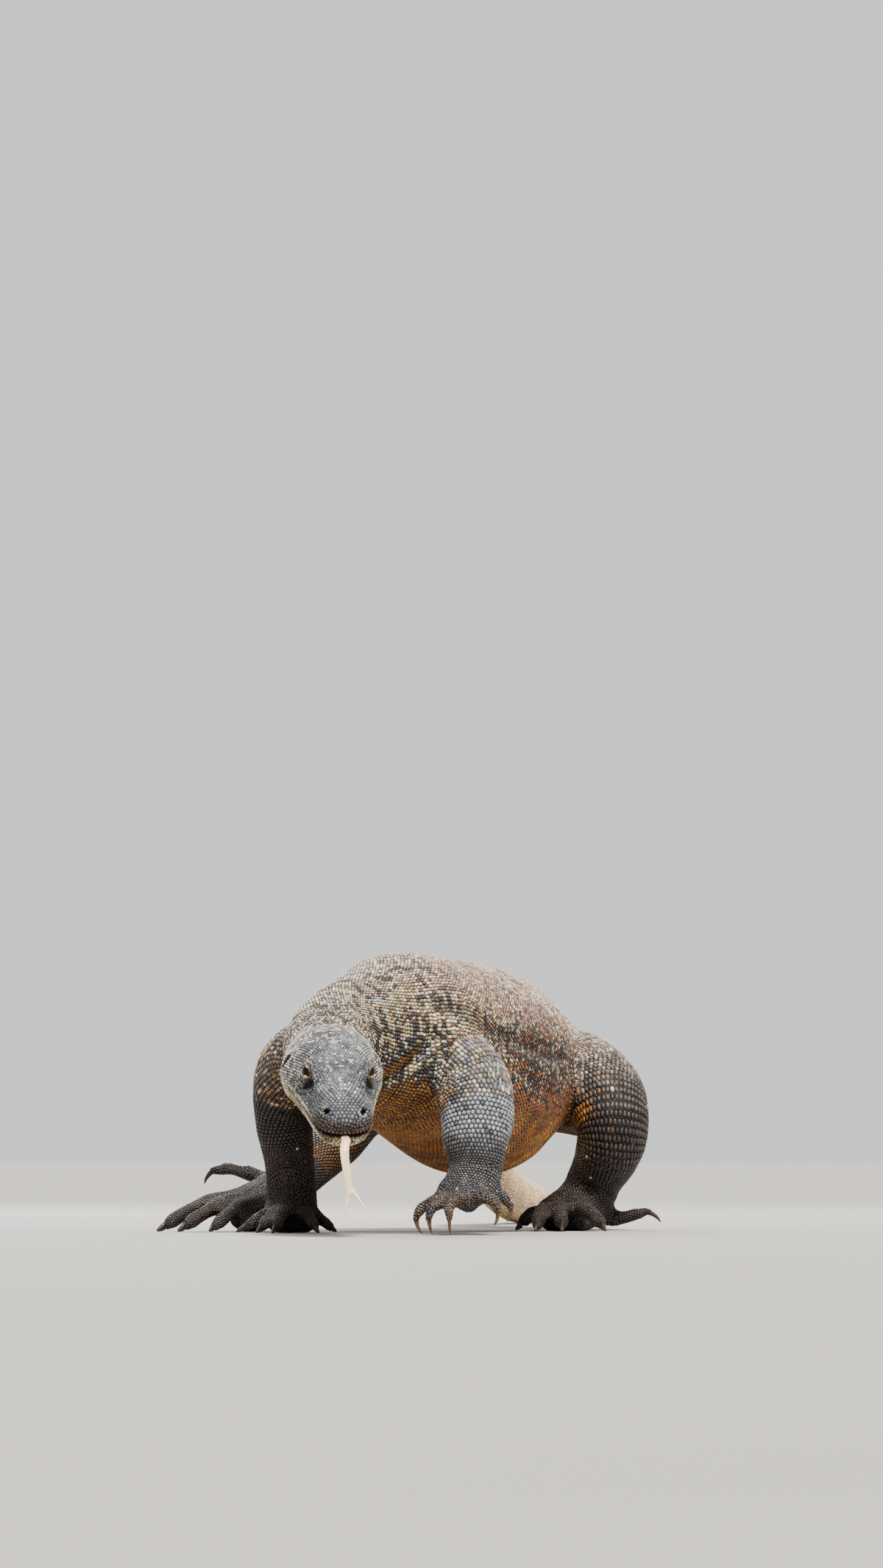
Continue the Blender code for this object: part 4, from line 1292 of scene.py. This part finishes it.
def trunk_markings(points, normals):
    """Mottled neck and shoulders, a pinkish grey back, dark flanks with pale rows, a golden belly."""
    way, up = along_trunk(points), normals[:, 2]
    broad, fine = clouds(points, 0.055, 41), clouds(points, 0.018, 42)
    neck, front = ramp(0.10 - way, 0, 0.12), ramp(0.34 - way, 0, 0.15)
    high, top = ramp(up, -0.60, 0.05), ramp(up, 0.05, 0.65)
    cream = 0.17 + 0.20 * front + 0.16 * ramp(fine, 0.45, 0.75) + 0.10 * neck
    rows = 0.65 + 0.7 * np.sin(points[:, 1] / 0.0105 * math.pi + 1.6 * fine)
    straw = 0.12 + 0.38 * ramp(clouds(points, 0.045, 43), 0.45, 0.7)
    straw = straw * front * ramp(0.95 - up, 0, 0.3) * high
    pink = top * (0.70 - 0.30 * neck) * ramp(fine, 0.05, 0.45)
    bone = top * (0.20 + 0.40 * ramp(way, 0.2, 0.55) + 0.02 * neck) * ramp(broad, 0.1, 0.5)
    patch = np.linalg.norm((points - on_trunk(BLADE)) / np.array([0.05, 0.040, 0.016]), axis=1)
    band = off_line(points, on_trunk(FOLDS[0][2]))
    rusty = bump(up, -0.36, 0.36) * ramp(way, 0.05, 0.3)
    colour = layered(
        plain("charcoal", len(points)),
        ("brown", 0.8 * flecks(points, 0.45, 40)),
        ("cream", 0.85 * flecks(points, cream * rows * high, 7)),
        ("straw", 0.8 * flecks(points, straw, 8)),
        ("pinkish", 0.8 * flecks(points, pink, 9) + 0.30 * top * (1 - 0.7 * neck)),
        ("bone", 0.80 * flecks(points, bone, 10)),
        ("rust", 0.60 * flecks(points, 0.30 * bump(up, 0.15, 0.65) * (1 - 0.6 * neck), 15)),
        ("slate_light", 0.7 * flecks(points, 0.10 + 0.10 * neck, 16)),
        ("cream", 0.9 * flecks(points, 0.50 * (1 - ramp(patch, 0.5, 1.1)), 11)),
        # a dark band along the fold under the shoulder blade: partly its own dark colour, partly painted
        # shade in the fold
        ("black", 0.55 * (1 - ramp(band, 0.004, 0.018)) * ramp(fine, 0.2, 0.5)),
        ("black", 0.6 * flecks(points, 0.45 * bump(up, -0.22, 0.34), 67)),
        ("rust", 0.85 * flecks(points, rusty * (0.35 + 0.6 * ramp(broad, 0.2, 0.6)), 12)),
    )
    golden = layered(
        plain("gold", len(points)),
        ("ochre", ramp(broad, 0.30, 0.65)),
        ("brown", 0.55 * ramp(clouds(points, 0.022, 44), 0.50, 0.72)),
        ("ochre", 0.7 * ramp(0.30 - way, 0, 0.2)),
        ("brown", (0.50 + 0.3 * ramp(0.25 - way, 0, 0.2)) * flecks(points, 0.42, 24)),
        ("rust", 0.5 * flecks(points, 0.3, 17) * ramp(0.7 - way, 0, 0.3)),
    )
    belly = ramp(-0.32 - up, 0, 0.26) * (0.75 + 0.25 * ramp(way, 0, 0.15))
    return colour + (golden - colour) * belly[:, None]


def tail_markings(points, normals):
    """Sand coloured, in faint bands, paler below."""
    bands = 0.5 + 0.5 * np.sin(points[:, 1] / 0.047 * math.pi + 2.2 * clouds(points, 0.05, 52))
    return layered(
        plain("pinkish", len(points)),
        ("sand", 0.88 + 0.12 * ramp(clouds(points, 0.016, 51), 0.2, 0.75)),
        ("brown", 0.35 * flecks(points, 0.10 + 0.24 * (1 - ramp(bands, 0.25, 0.7)), 18)),
        ("bone", 0.60 * flecks(points, 0.12 + 0.25 * ramp(bands, 0.5, 0.9), 19)),
        ("sand", 0.8 * ramp(-0.2 - normals[:, 2], 0, 0.4)),
    )


ROOTS = ("upper_arm", "thigh")
LIMB_LOOKS = {  # base, lighter scales and their share, pale flecks, how golden the inner side is
    "upper_arm_left": ("slate", "slate_light", 0.35, 0.10, 0.35),
    "forearm_left": ("slate", "slate_light", 0.45, 0.015, 0.0),
    "hand_left": ("slate", "pinkish", 0.10, 0.004, 0.0),
    "upper_arm_right": ("charcoal", "pinkish", 0.30, 0.12, 0.25),
    "forearm_right": ("dusk", "brown", 0.35, 0.008, 0.0),
    "hand_right": ("dusk", "brown", 0.65, 0.0, 0.0),
    "thigh_left": ("charcoal", "pinkish", 0.35, 0.05, 1.0),
    "shank_left": ("dusk", "brown", 0.30, 0.006, 0.2),
    "foot_left": ("dusk", "brown", 0.60, 0.0, 0.0),
    "thigh_right": ("charcoal", "pinkish", 0.30, 0.06, 0.6),
    "shank_right": ("dusk", "brown", 0.40, 0.01, 0.2),
    "foot_right": ("charcoal", "brown", 0.50, 0.0, 0.0),
}


def limb_markings(name, points, normals):
    """Dark limbs, mixed scale by scale, with a few tan spots, golden where they face the body, paler on the
    upward sides of the upper arms and thighs (partly painted light from above) and by the left elbow (partly
    a painted highlight).
    """
    base, lighter, share, spots, golden = LIMB_LOOKS[name]
    low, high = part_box(name)
    fine, height = clouds(points, 0.015, 61), points[:, 2]
    colour = layered(
        plain(base, len(points)),
        (lighter, 0.60 * flecks(points, share, 20) + 0.15 * ramp(fine, 0.3, 0.8)),
        ("black", 0.45 * flecks(points, 0.25, 21)),
    )
    if name.startswith(ROOTS):
        # paler bone and pinkish flecks where the skin faces up: partly the scales' own pale mottling, partly
        # painted light from above
        facing_up = ramp(normals[:, 2], -0.1, 0.6)
        colour = layered(
            colour, ("bone", 0.55 * flecks(points, 0.16 * facing_up + 0.06, 22)),
            ("pinkish", 0.6 * flecks(points, 0.28 * facing_up, 23)),
        )
    if name.startswith("thigh"):
        colour = layered(colour, ("dusk", 0.94 * ramp(low.z + 0.112 - height, 0, 0.05)))
    if name == "forearm_left":
        # paler grey scales at the top of the forearm by the elbow, partly their own grey and partly a painted
        # highlight; darker towards the wrist
        elbow = ramp(height - high.z + 0.075, 0, 0.04)
        colour = layered(
            colour, ("slate_light", 0.75 * elbow * flecks(points, 0.85, 25)),
            ("charcoal", 0.75 * ramp(low.z + 0.070 - height, 0, 0.04)),
        )
    rows = 0.4 + 1.2 * ramp(np.sin(height / 0.011 * math.pi + 2.5 * fine), -0.2, 0.7)
    colour = layered(
        colour, ("cream", 0.75 * flecks(points, spots * rows, 13)),
        ("ochre", 0.7 * flecks(points, 0.7 * spots * rows, 14)),
    )
    if name == "hand_left":
        under = ramp(low.z + 0.5 * (high.z - low.z) - height, 0, 0.02)
        colour = layered(colour, ("horn", 0.75 * under * ramp(fine, 0.25, 0.6)))
    warm = layered(
        plain("gold", len(points)), ("ochre", ramp(clouds(points, 0.03, 64), 0.3, 0.6)),
        ("brown", 0.80 * ramp(clouds(points, 0.02, 63), 0.42, 0.65)),
    )
    towards = np.sign(middle("trunk").x - middle(name).x)
    inner = golden * ramp(normals[:, 0] * towards, 0.1, 0.7)
    return colour + (warm - colour) * inner[:, None]


TRUNK = BVHTree.FromBMesh(node_copy("trunk"))


def from_trunk(points):
    """How far each point is from the trunk's own surface."""
    return np.array([TRUNK.find_nearest(Vector(point))[3] for point in points])


def markings(points, normals, labels):
    """The colour of the skin and of the scales over it, by place."""
    points, normals = np.asarray(points, float), np.asarray(normals, float)
    colour = trunk_markings(points, normals)
    tail = ramp(along_trunk(points), 0.96, 1.12) * named(labels, "trunk", "tail")
    colour += (tail_markings(points, normals) - colour) * tail[:, None]
    for name in LIMB_LOOKS:
        where = labels == INDEX[name]
        limb = limb_markings(name, points[where], normals[where])
        if name.startswith(ROOTS):
            away = from_trunk(points[where]) + 0.010 * (clouds(points[where], 0.012, 65) - 0.5)
            colour[where] += (limb - colour[where]) * (0.92 * ramp(away, 0.0, 0.014))[:, None]
        else:
            colour[where] = limb
    head = np.where(named(labels, "head", "lower_jaw"), 1 - ramp(to_head(points)[:, 0], 0.165, 0.20), 0)
    return np.clip(colour + (head_markings(points) - colour) * head[:, None], 0.002, 1)


# ---------------------------------------------------------------- pieces from the coat

KINDS = {  # how far the crown is drawn to the rear, and the reach and height of the crown's rim
    "grain": (0.07, 0, 0), "bead": (0.05, 0.35, 0.76),
    "cobble": (0.03, 0.37, 0.80), "plate": (0.06, 0.41, 0.72),
}
SUNK = 0.0003  # how deep a scale's root sits in the skin


def build_scales(coat, material):
    """One piece of scales for each part of the body, joined from copies of the unit scales."""
    for name, shape in KINDS.items():
        scale_kind(name, *shape)
    numbers = np.array([row[:12] + row[14:] for row in coat.rows])
    kinds = np.array([row[12] for row in coat.rows])
    pieces = np.array([row[13] for row in coat.rows])
    labels = OWNERS.of(numbers[:, :3])
    colours = markings(numbers[:, :3], numbers[:, 3:6], labels)
    colours *= (0.86 + 0.28 * rng.random(len(coat.rows)))[:, None]
    for name in sorted(set(pieces)):
        points, faces, tints, rises, maps = [], [], [], [], []
        start = 0
        for kind, (shape, triangles) in SCALE_KINDS.items():
            here = (pieces == name) & (kinds == kind)
            chosen = numbers[here]
            root, normal, lie = chosen[:, :3], chosen[:, 3:6], chosen[:, 6:9]
            across = np.cross(lie, normal)
            long, broad, high = chosen[:, 9:12].T
            x, y, z = shape.T
            body = (root - SUNK * normal)[:, None]
            for axis, size, unit_size in ((across, broad, x), (lie, long, y), (normal, high, z)):
                body = body + axis[:, None] * (size[:, None] * unit_size)[:, :, None]
            count, corners = len(chosen), len(shape)
            points.append(body.reshape(-1, 3))
            starts = start + corners * np.arange(count)
            faces.append((triangles[None] + starts[:, None, None]).reshape(-1, 3))
            start += count * corners
            tints.append(np.repeat(colours[here], corners, axis=0))
            # each corner's height on its scale, which the scale paint turns into painted shade low on the
            # sides and a painted highlight on the crown
            rises.append(np.tile(np.clip(z, 0, 1), count))
            patch = np.stack((x, y), 1) * 0.003
            maps.append((chosen[:, None, 12:14] + patch[None]).reshape(-1, 2))
        joined = (np.concatenate(part) for part in (points, faces, tints, rises, maps))
        finish_piece(scale_piece(name, *joined), material, "skin")


def scale_piece(name, points, faces, tints, rises, maps):
    mesh = bpy.data.meshes.new(name)
    mesh.vertices.add(len(points))
    mesh.vertices.foreach_set("co", points.ravel())
    mesh.loops.add(faces.size)
    mesh.loops.foreach_set("vertex_index", faces.ravel())
    mesh.polygons.add(len(faces))
    mesh.polygons.foreach_set("loop_start", np.arange(len(faces)) * 3)
    mesh.update(calc_edges=True)
    mesh.validate()
    mesh.shade_smooth()
    paint_points(mesh, tints)
    rise = mesh.attributes.new("rise", "FLOAT", "POINT")
    rise.data.foreach_set("value", rises)
    layer = mesh.uv_layers.new(name="OFBake")
    layer.data.foreach_set("uv", maps[faces.ravel()].ravel())
    return add_piece(name, mesh)


def paint_points(mesh, colours):
    layer = mesh.attributes.new("markings", "FLOAT_COLOR", "POINT")
    layer.data.foreach_set("color", np.column_stack((colours, np.ones(len(colours)))).ravel())


# ---------------------------------------------------------------- materials


class Paint:
    """A material being built: its node tree, and short ways to add nodes to it."""

    def __init__(self, name, **values):
        self.material = bpy.data.materials.new(name)
        self.material.use_nodes = True
        self.tree = self.material.node_tree
        self.shader = self.tree.nodes["Principled BSDF"]
        for socket, value in values.items():
            self.shader.inputs[socket.replace("_", " ")].default_value = value

    def node(self, kind, inputs=(), **settings):
        node = self.tree.nodes.new(kind)
        for setting, value in settings.items():
            setattr(node, setting, value)
        for socket, value in dict(inputs).items():
            if isinstance(value, bpy.types.NodeSocket):
                self.tree.links.new(value, node.inputs[socket])
            else:
                node.inputs[socket].default_value = value
        return node

    def place(self):
        return self.node("ShaderNodeTexCoord").outputs["Object"]

    def noise(self, scale, detail=3.0):
        inputs = {"Vector": self.place(), "Scale": scale, "Detail": detail}
        return self.node("ShaderNodeTexNoise", inputs).outputs["Fac"]

    def attribute(self, name, output="Color"):
        return self.node("ShaderNodeAttribute", attribute_name=name).outputs[output]

    def spread(self, value, low, high, start=0.0, stop=1.0):
        """The value, with start to stop stretched over low to high."""
        inputs = {"Value": value, "From Min": start, "From Max": stop, "To Min": low, "To Max": high}
        return self.node("ShaderNodeMapRange", inputs).outputs["Result"]

    def dimmed(self, colour, value):
        """The colour times a value."""
        inputs = {0: colour, "Scale": value}
        return self.node("ShaderNodeVectorMath", inputs, operation="SCALE").outputs["Vector"]

    def times(self, one, other):
        return self.node("ShaderNodeMath", {0: one, 1: other}, operation="MULTIPLY").outputs["Value"]

    def mix(self, share, one, other):
        node = self.node("ShaderNodeMix", {"Factor": share}, data_type="RGBA")
        for name, value in (("A", one), ("B", other)):
            target = next(socket for socket in node.inputs if (socket.name, socket.type) == (name, "RGBA"))
            if isinstance(value, bpy.types.NodeSocket):
                self.tree.links.new(value, target)
            else:
                target.default_value = (*value, 1.0)
        return next(socket for socket in node.outputs if socket.type == "RGBA")

    def stops(self, value, *stops):
        """Colours by value, from pairs of (value, colour)."""
        node = self.node("ShaderNodeValToRGB", {"Fac": value})
        made = node.color_ramp.elements
        for index, (at, colour) in enumerate(stops):
            stop = made[index] if index < 2 else made.new(at)
            stop.position = at
            stop.color = (*colour, 1.0)
        return node.outputs["Color"]

    def wear(self, socket, value):
        self.tree.links.new(value, self.shader.inputs[socket])

    def relief(self, height, depth, strength=1.0):
        inputs = {"Height": height, "Distance": depth, "Strength": strength}
        self.wear("Normal", self.node("ShaderNodeBump", inputs).outputs["Normal"])


def scale_paint():
    """Horny scales: the markings with painted shade down their sides, darkest at the root, a painted pale
    highlight on the crown, and a roughness that varies by noise.
    """
    paint = Paint("horny scales", Roughness=0.5, Specular_IOR_Level=0.40)
    grain = paint.noise(420.0, 4.0)
    rise = paint.attribute("rise", "Fac")
    # painted shade: the markings dimmed low on a scale's sides and brightened towards its crown
    shade = paint.times(paint.spread(rise, 0.08, 1.50), paint.spread(grain, 0.72, 1.25, 0.3, 0.7))
    colour = paint.dimmed(paint.attribute("markings"), shade)
    # painted highlight: the crown mixed towards a pale grey
    crown = paint.times(paint.spread(rise, 0.0, 0.10, 0.70, 1.0), paint.spread(grain, 0.3, 1.0, 0.35, 0.65))
    paint.wear("Base Color", paint.mix(crown, colour, (0.42, 0.40, 0.38)))
    paint.wear("Roughness", paint.spread(paint.noise(60.0), 0.32, 0.55, 0.3, 0.7))
    paint.relief(paint.noise(1500.0, 2.0), 0.0002, 0.7)
    return paint.material


def skin_paint():
    """Soft skin between the scales: the same markings, darkened as painted shade in the gaps between scales,
    finely pitted.
    """
    paint = Paint("soft skin", Roughness=0.6, Specular_IOR_Level=0.4)
    # painted shade: the markings dimmed strongly wherever the skin shows between the scales
    shade = paint.spread(paint.noise(300.0, 4.0), 0.10, 0.26, 0.3, 0.7)
    paint.wear("Base Color", paint.dimmed(paint.attribute("markings"), shade))
    paint.wear("Roughness", paint.spread(paint.noise(90.0), 0.5, 0.8, 0.3, 0.7))
    pits = paint.node("ShaderNodeTexVoronoi", {"Vector": paint.place(), "Scale": 620.0}).outputs["Distance"]
    paint.relief(pits, 0.0004, 0.6)
    return paint.material


def eye_paint():
    paint = Paint("eye", Roughness=0.12, Specular_IOR_Level=0.15, Coat_Weight=0.20, Coat_Roughness=0.03)
    gaze = paint.attribute("gaze", "Fac")
    streaks = paint.spread(paint.noise(900.0, 3.0), 0.6, 1.35, 0.3, 0.7)
    colour = paint.stops(
        gaze, (0.0, (0.003, 0.003, 0.003)), (0.125, (0.003, 0.003, 0.003)), (0.150, (0.060, 0.030, 0.014)),
        (0.24, (0.030, 0.016, 0.009)), (0.28, (0.008, 0.006, 0.005)), (0.45, (0.04, 0.026, 0.018)),
    )
    paint.wear("Base Color", paint.dimmed(colour, streaks))
    return paint.material


def horn_paint():
    """Claws: dark at the root or ochre with mud, with streaks along them and worn tips."""
    paint = Paint("claw horn", Roughness=0.45, Specular_IOR_Level=0.4, Coat_Weight=0.10)
    grain = paint.noise(380.0, 5.0)
    streaks = paint.spread(grain, 0.55, 1.4, 0.3, 0.7)
    paint.wear("Base Color", paint.dimmed(paint.attribute("markings"), streaks))
    paint.wear("Roughness", paint.spread(paint.noise(160.0), 0.35, 0.7, 0.3, 0.7))
    paint.relief(grain, 0.0003, 0.8)
    return paint.material


def tongue_paint():
    paint = Paint(
        "tongue", Roughness=0.5, Subsurface_Weight=0.25, Subsurface_Scale=0.004,
        Subsurface_Radius=(1.0, 0.45, 0.3), Coat_Weight=0.08,
    )
    grain = paint.spread(paint.noise(500.0, 3.0), 0.88, 1.06, 0.3, 0.7)
    paint.wear("Base Color", paint.dimmed(paint.attribute("markings"), grain))
    paint.relief(paint.noise(900.0, 3.0), 0.0002, 0.6)
    return paint.material


def floor_paint():
    paint = Paint("pale floor", Roughness=0.85, Specular_IOR_Level=0.3)
    tone = paint.noise(1.4, 5.0)
    paint.wear("Base Color", paint.mix(tone, (0.43, 0.41, 0.385), (0.47, 0.45, 0.425)))
    paint.relief(paint.noise(60.0, 6.0), 0.0008, 0.4)
    return paint.material


# ---------------------------------------------------------------- eyes, claws and tongue


def finish_piece(piece, material, slot, *nodes):
    piece.data.materials.clear()
    piece.data.materials.append(material)
    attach(piece, "root")
    if nodes:
        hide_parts(*nodes)


def make_eye(side, material):
    """An eyeball whose pole looks out, with a clear bulge over the iris."""
    centre, *_, look = EYES[side]
    look = unit(look - 0.45 * HEAD_AXES[0])
    bm = bmesh.new()
    turn = Vector(look).to_track_quat("Z", "Y").to_matrix().to_4x4()
    bmesh.ops.create_uvsphere(bm, u_segments=48, v_segments=40, radius=EYE_RADIUS - 0.0002)
    gazes = []
    for vert in bm.verts:
        angle = vert.co.angle(Vector((0, 0, 1)))
        gazes.append(angle / math.pi)
        vert.co *= 1 + 0.022 * max(0.0, math.cos(min(angle / 0.75, 1) * math.pi / 2))
    bmesh.ops.transform(bm, matrix=Matrix.Translation(Vector(centre)) @ turn, verts=bm.verts)
    mesh = mesh_from(bm, "eyeball_" + side)
    mesh.shade_smooth()
    gaze = mesh.attributes.new("gaze", "FLOAT", "POINT")
    gaze.data.foreach_set("value", gazes)
    finish_piece(add_piece("eyeball_" + side, mesh), material, "eye", "eye_" + side)


CLAW_PAINTS = {"hand_left": ("brown", "horn"), "foot_left": ("black", "brown")}
TONGUE_PALE, TONGUE_FLESH = np.array([0.84, 0.70, 0.47]), np.array([0.64, 0.36, 0.22])
CLAW_THIN = 0.66  # the claw's horn against the solid it was cut from, which has the digit's flesh round it


def make_claws(foot, material):
    """The five claws of a foot, each slimmed about its own middle line and rooted in its digit."""
    joined, reaches = bmesh.new(), []
    nodes = [f"claw_{foot}_{digit}" for digit in DIGITS]
    for digit, node in zip(DIGITS, nodes):
        centres, _ = claw_line(foot, digit)
        bm = node_copy(node)
        root = centres[0]
        far = max(np.linalg.norm(np.array(vert.co) - root) for vert in bm.verts)
        for vert in bm.verts:
            centre = along_claw(centres, np.linalg.norm(np.array(vert.co) - root) / far)
            vert.co = centre + (vert.co - centre) * CLAW_THIN
        mesh = mesh_from(bm, "claw")
        reaches += [np.linalg.norm(np.array(vert.co) - root) / far for vert in mesh.vertices]
        joined.from_mesh(mesh)
        bpy.data.meshes.remove(mesh)
    mesh = mesh_from(joined, "claws_" + foot)
    root_paint, tip_paint = (np.array(PAINTS[name]) for name in CLAW_PAINTS.get(foot, ("black", "dusk")))
    share = ramp(np.array(reaches), 0.25, 0.85)[:, None]
    paint_points(mesh, root_paint + (tip_paint - root_paint) * share)
    mesh.shade_smooth()
    piece = add_piece("claws_" + foot, mesh)
    modified(piece, SUBSURF={"levels": 2, "render_levels": 2})
    finish_piece(piece, material, "horn", *nodes)


def make_tongue(material):
    """The forked tongue, flesh coloured where it leaves the mouth."""
    piece = add_piece("forked_tongue", mesh_from(node_copy("tongue", 0.0003), "forked_tongue"))
    mesh = modified(piece, REMESH={"mode": "VOXEL", "voxel_size": 0.0006}, SMOOTH={"iterations": 60})
    mesh.shade_smooth()
    top = ramp(of_vertices(mesh, "co")[:, 2], 0.105, 0.13)[:, None]
    paint_points(mesh, TONGUE_PALE + (TONGUE_FLESH - TONGUE_PALE) * top)
    finish_piece(piece, material, "tongue", "tongue")


# ---------------------------------------------------------------- floor, light and camera

CAMERA_TURN = math.radians(20)  # to the animal's left of straight ahead
CAMERA_DISTANCE, CAMERA_HEIGHT = 9.0, 0.10
CAMERA_LENS, CAMERA_SENSOR = 167.324, 36.0  # in millimetres, the sensor's along its height
AIM_ACROSS, AIM_UP = 0.010101, 0.050606  # slopes that the camera is turned by, aside and up
SHOULDER = Vector((0.068, -0.715, 0.0))  # on the ground below the shoulders; the camera is measured from it
SUN_TURN, SUN_HEIGHT = 34, 56  # in degrees, from straight ahead to the animal's left, and up


def make_camera():
    """Looks level past the shoulder, then turned up and aside so that the animal stands low in the frame."""
    data = bpy.data.cameras.new("camera")
    data.sensor_fit = "VERTICAL"
    data.sensor_height = CAMERA_SENSOR
    data.lens = CAMERA_LENS
    data.clip_end = 200
    forward = Vector((-math.sin(CAMERA_TURN), math.cos(CAMERA_TURN), 0))
    right = Vector((math.cos(CAMERA_TURN), math.sin(CAMERA_TURN), 0))
    place = SHOULDER - forward * CAMERA_DISTANCE + Vector((0, 0, CAMERA_HEIGHT))
    pan, tilt = math.atan(AIM_ACROSS), math.atan(AIM_UP)
    ahead = forward * math.cos(pan) + right * math.sin(pan)
    across = right * math.cos(pan) - forward * math.sin(pan)
    aim = ahead * math.cos(tilt) + Vector((0, 0, math.sin(tilt)))
    camera = bpy.data.objects.new("camera", data)
    turn = Matrix((across, across.cross(aim), -aim)).transposed().to_4x4()
    camera.matrix_world = Matrix.Translation(place) @ turn
    bpy.context.scene.collection.objects.link(camera)
    bpy.context.scene.camera = camera


def make_light(name, kind, place, heading, **settings):
    data = bpy.data.lights.new(name, kind)
    for setting, value in settings.items():
        setattr(data, setting, value)
    light = bpy.data.objects.new(name, data)
    light.location = place
    light.rotation_euler = heading.to_track_quat("-Z", "Y").to_euler()
    bpy.context.scene.collection.objects.link(light)


def sun_heading():
    """The way the sun shines, from ahead on the animal's left."""
    turn, height = math.radians(SUN_TURN), math.radians(SUN_HEIGHT)
    across = math.cos(height)
    return -Vector((math.sin(turn) * across, -math.cos(turn) * across, math.sin(height)))


def make_studio():
    """A pale floor, a broad sun, a rim light behind and an even sky."""
    bm = bmesh.new()
    bmesh.ops.create_grid(bm, x_segments=2, y_segments=2, size=60)
    mesh = mesh_from(bm, "floor")
    mesh.materials.append(floor_paint())
    add_piece("floor", mesh)
    world = bpy.data.worlds.new("studio")
    world.use_nodes = True
    sky = world.node_tree.nodes["Background"]
    sky.inputs["Color"].default_value = (0.96, 0.965, 0.98, 1)
    sky.inputs["Strength"].default_value = 0.78
    bpy.context.scene.world = world
    make_light(
        "sun", "SUN", place=(0, 0, 0), heading=sun_heading(), energy=4.5, color=(1.0, 0.97, 0.92),
        angle=math.radians(11),
    )
    rim, aim = Vector((-2.2, 2.2, 2.8)), Vector((0.0, -0.2, 0.2))
    make_light(
        "rim", "AREA", place=rim, heading=aim - rim, energy=90, color=(0.95, 0.98, 1.0),
        shape="DISK", size=1.8,
    )
    bpy.context.scene.view_settings.look = "AgX - Medium High Contrast"


def main():
    make_camera()
    make_studio()
    piece, labels = make_skin()
    skin, coat = Skin(piece.data, labels), Coat()
    for lay in (lay_lids, lay_lips, lay_head, lay_digits, lay_limbs, lay_spine):
        lay(skin, coat)
    for tries, few, share, only, kind in FILLS:
        fill_gaps(skin, coat, tries, share, only, kind)
    paint_points(piece.data, markings(skin.points, skin.normals, labels))
    finish_piece(piece, skin_paint(), "skin", *FLESH)
    build_scales(coat, scale_paint())
    eye, horn = eye_paint(), horn_paint()
    for side in SIDES:
        make_eye(side, eye)
        for limb in LIMBS.values():
            make_claws(f"{limb[-1]}_{side}", horn)
    make_tongue(tongue_paint())


main()
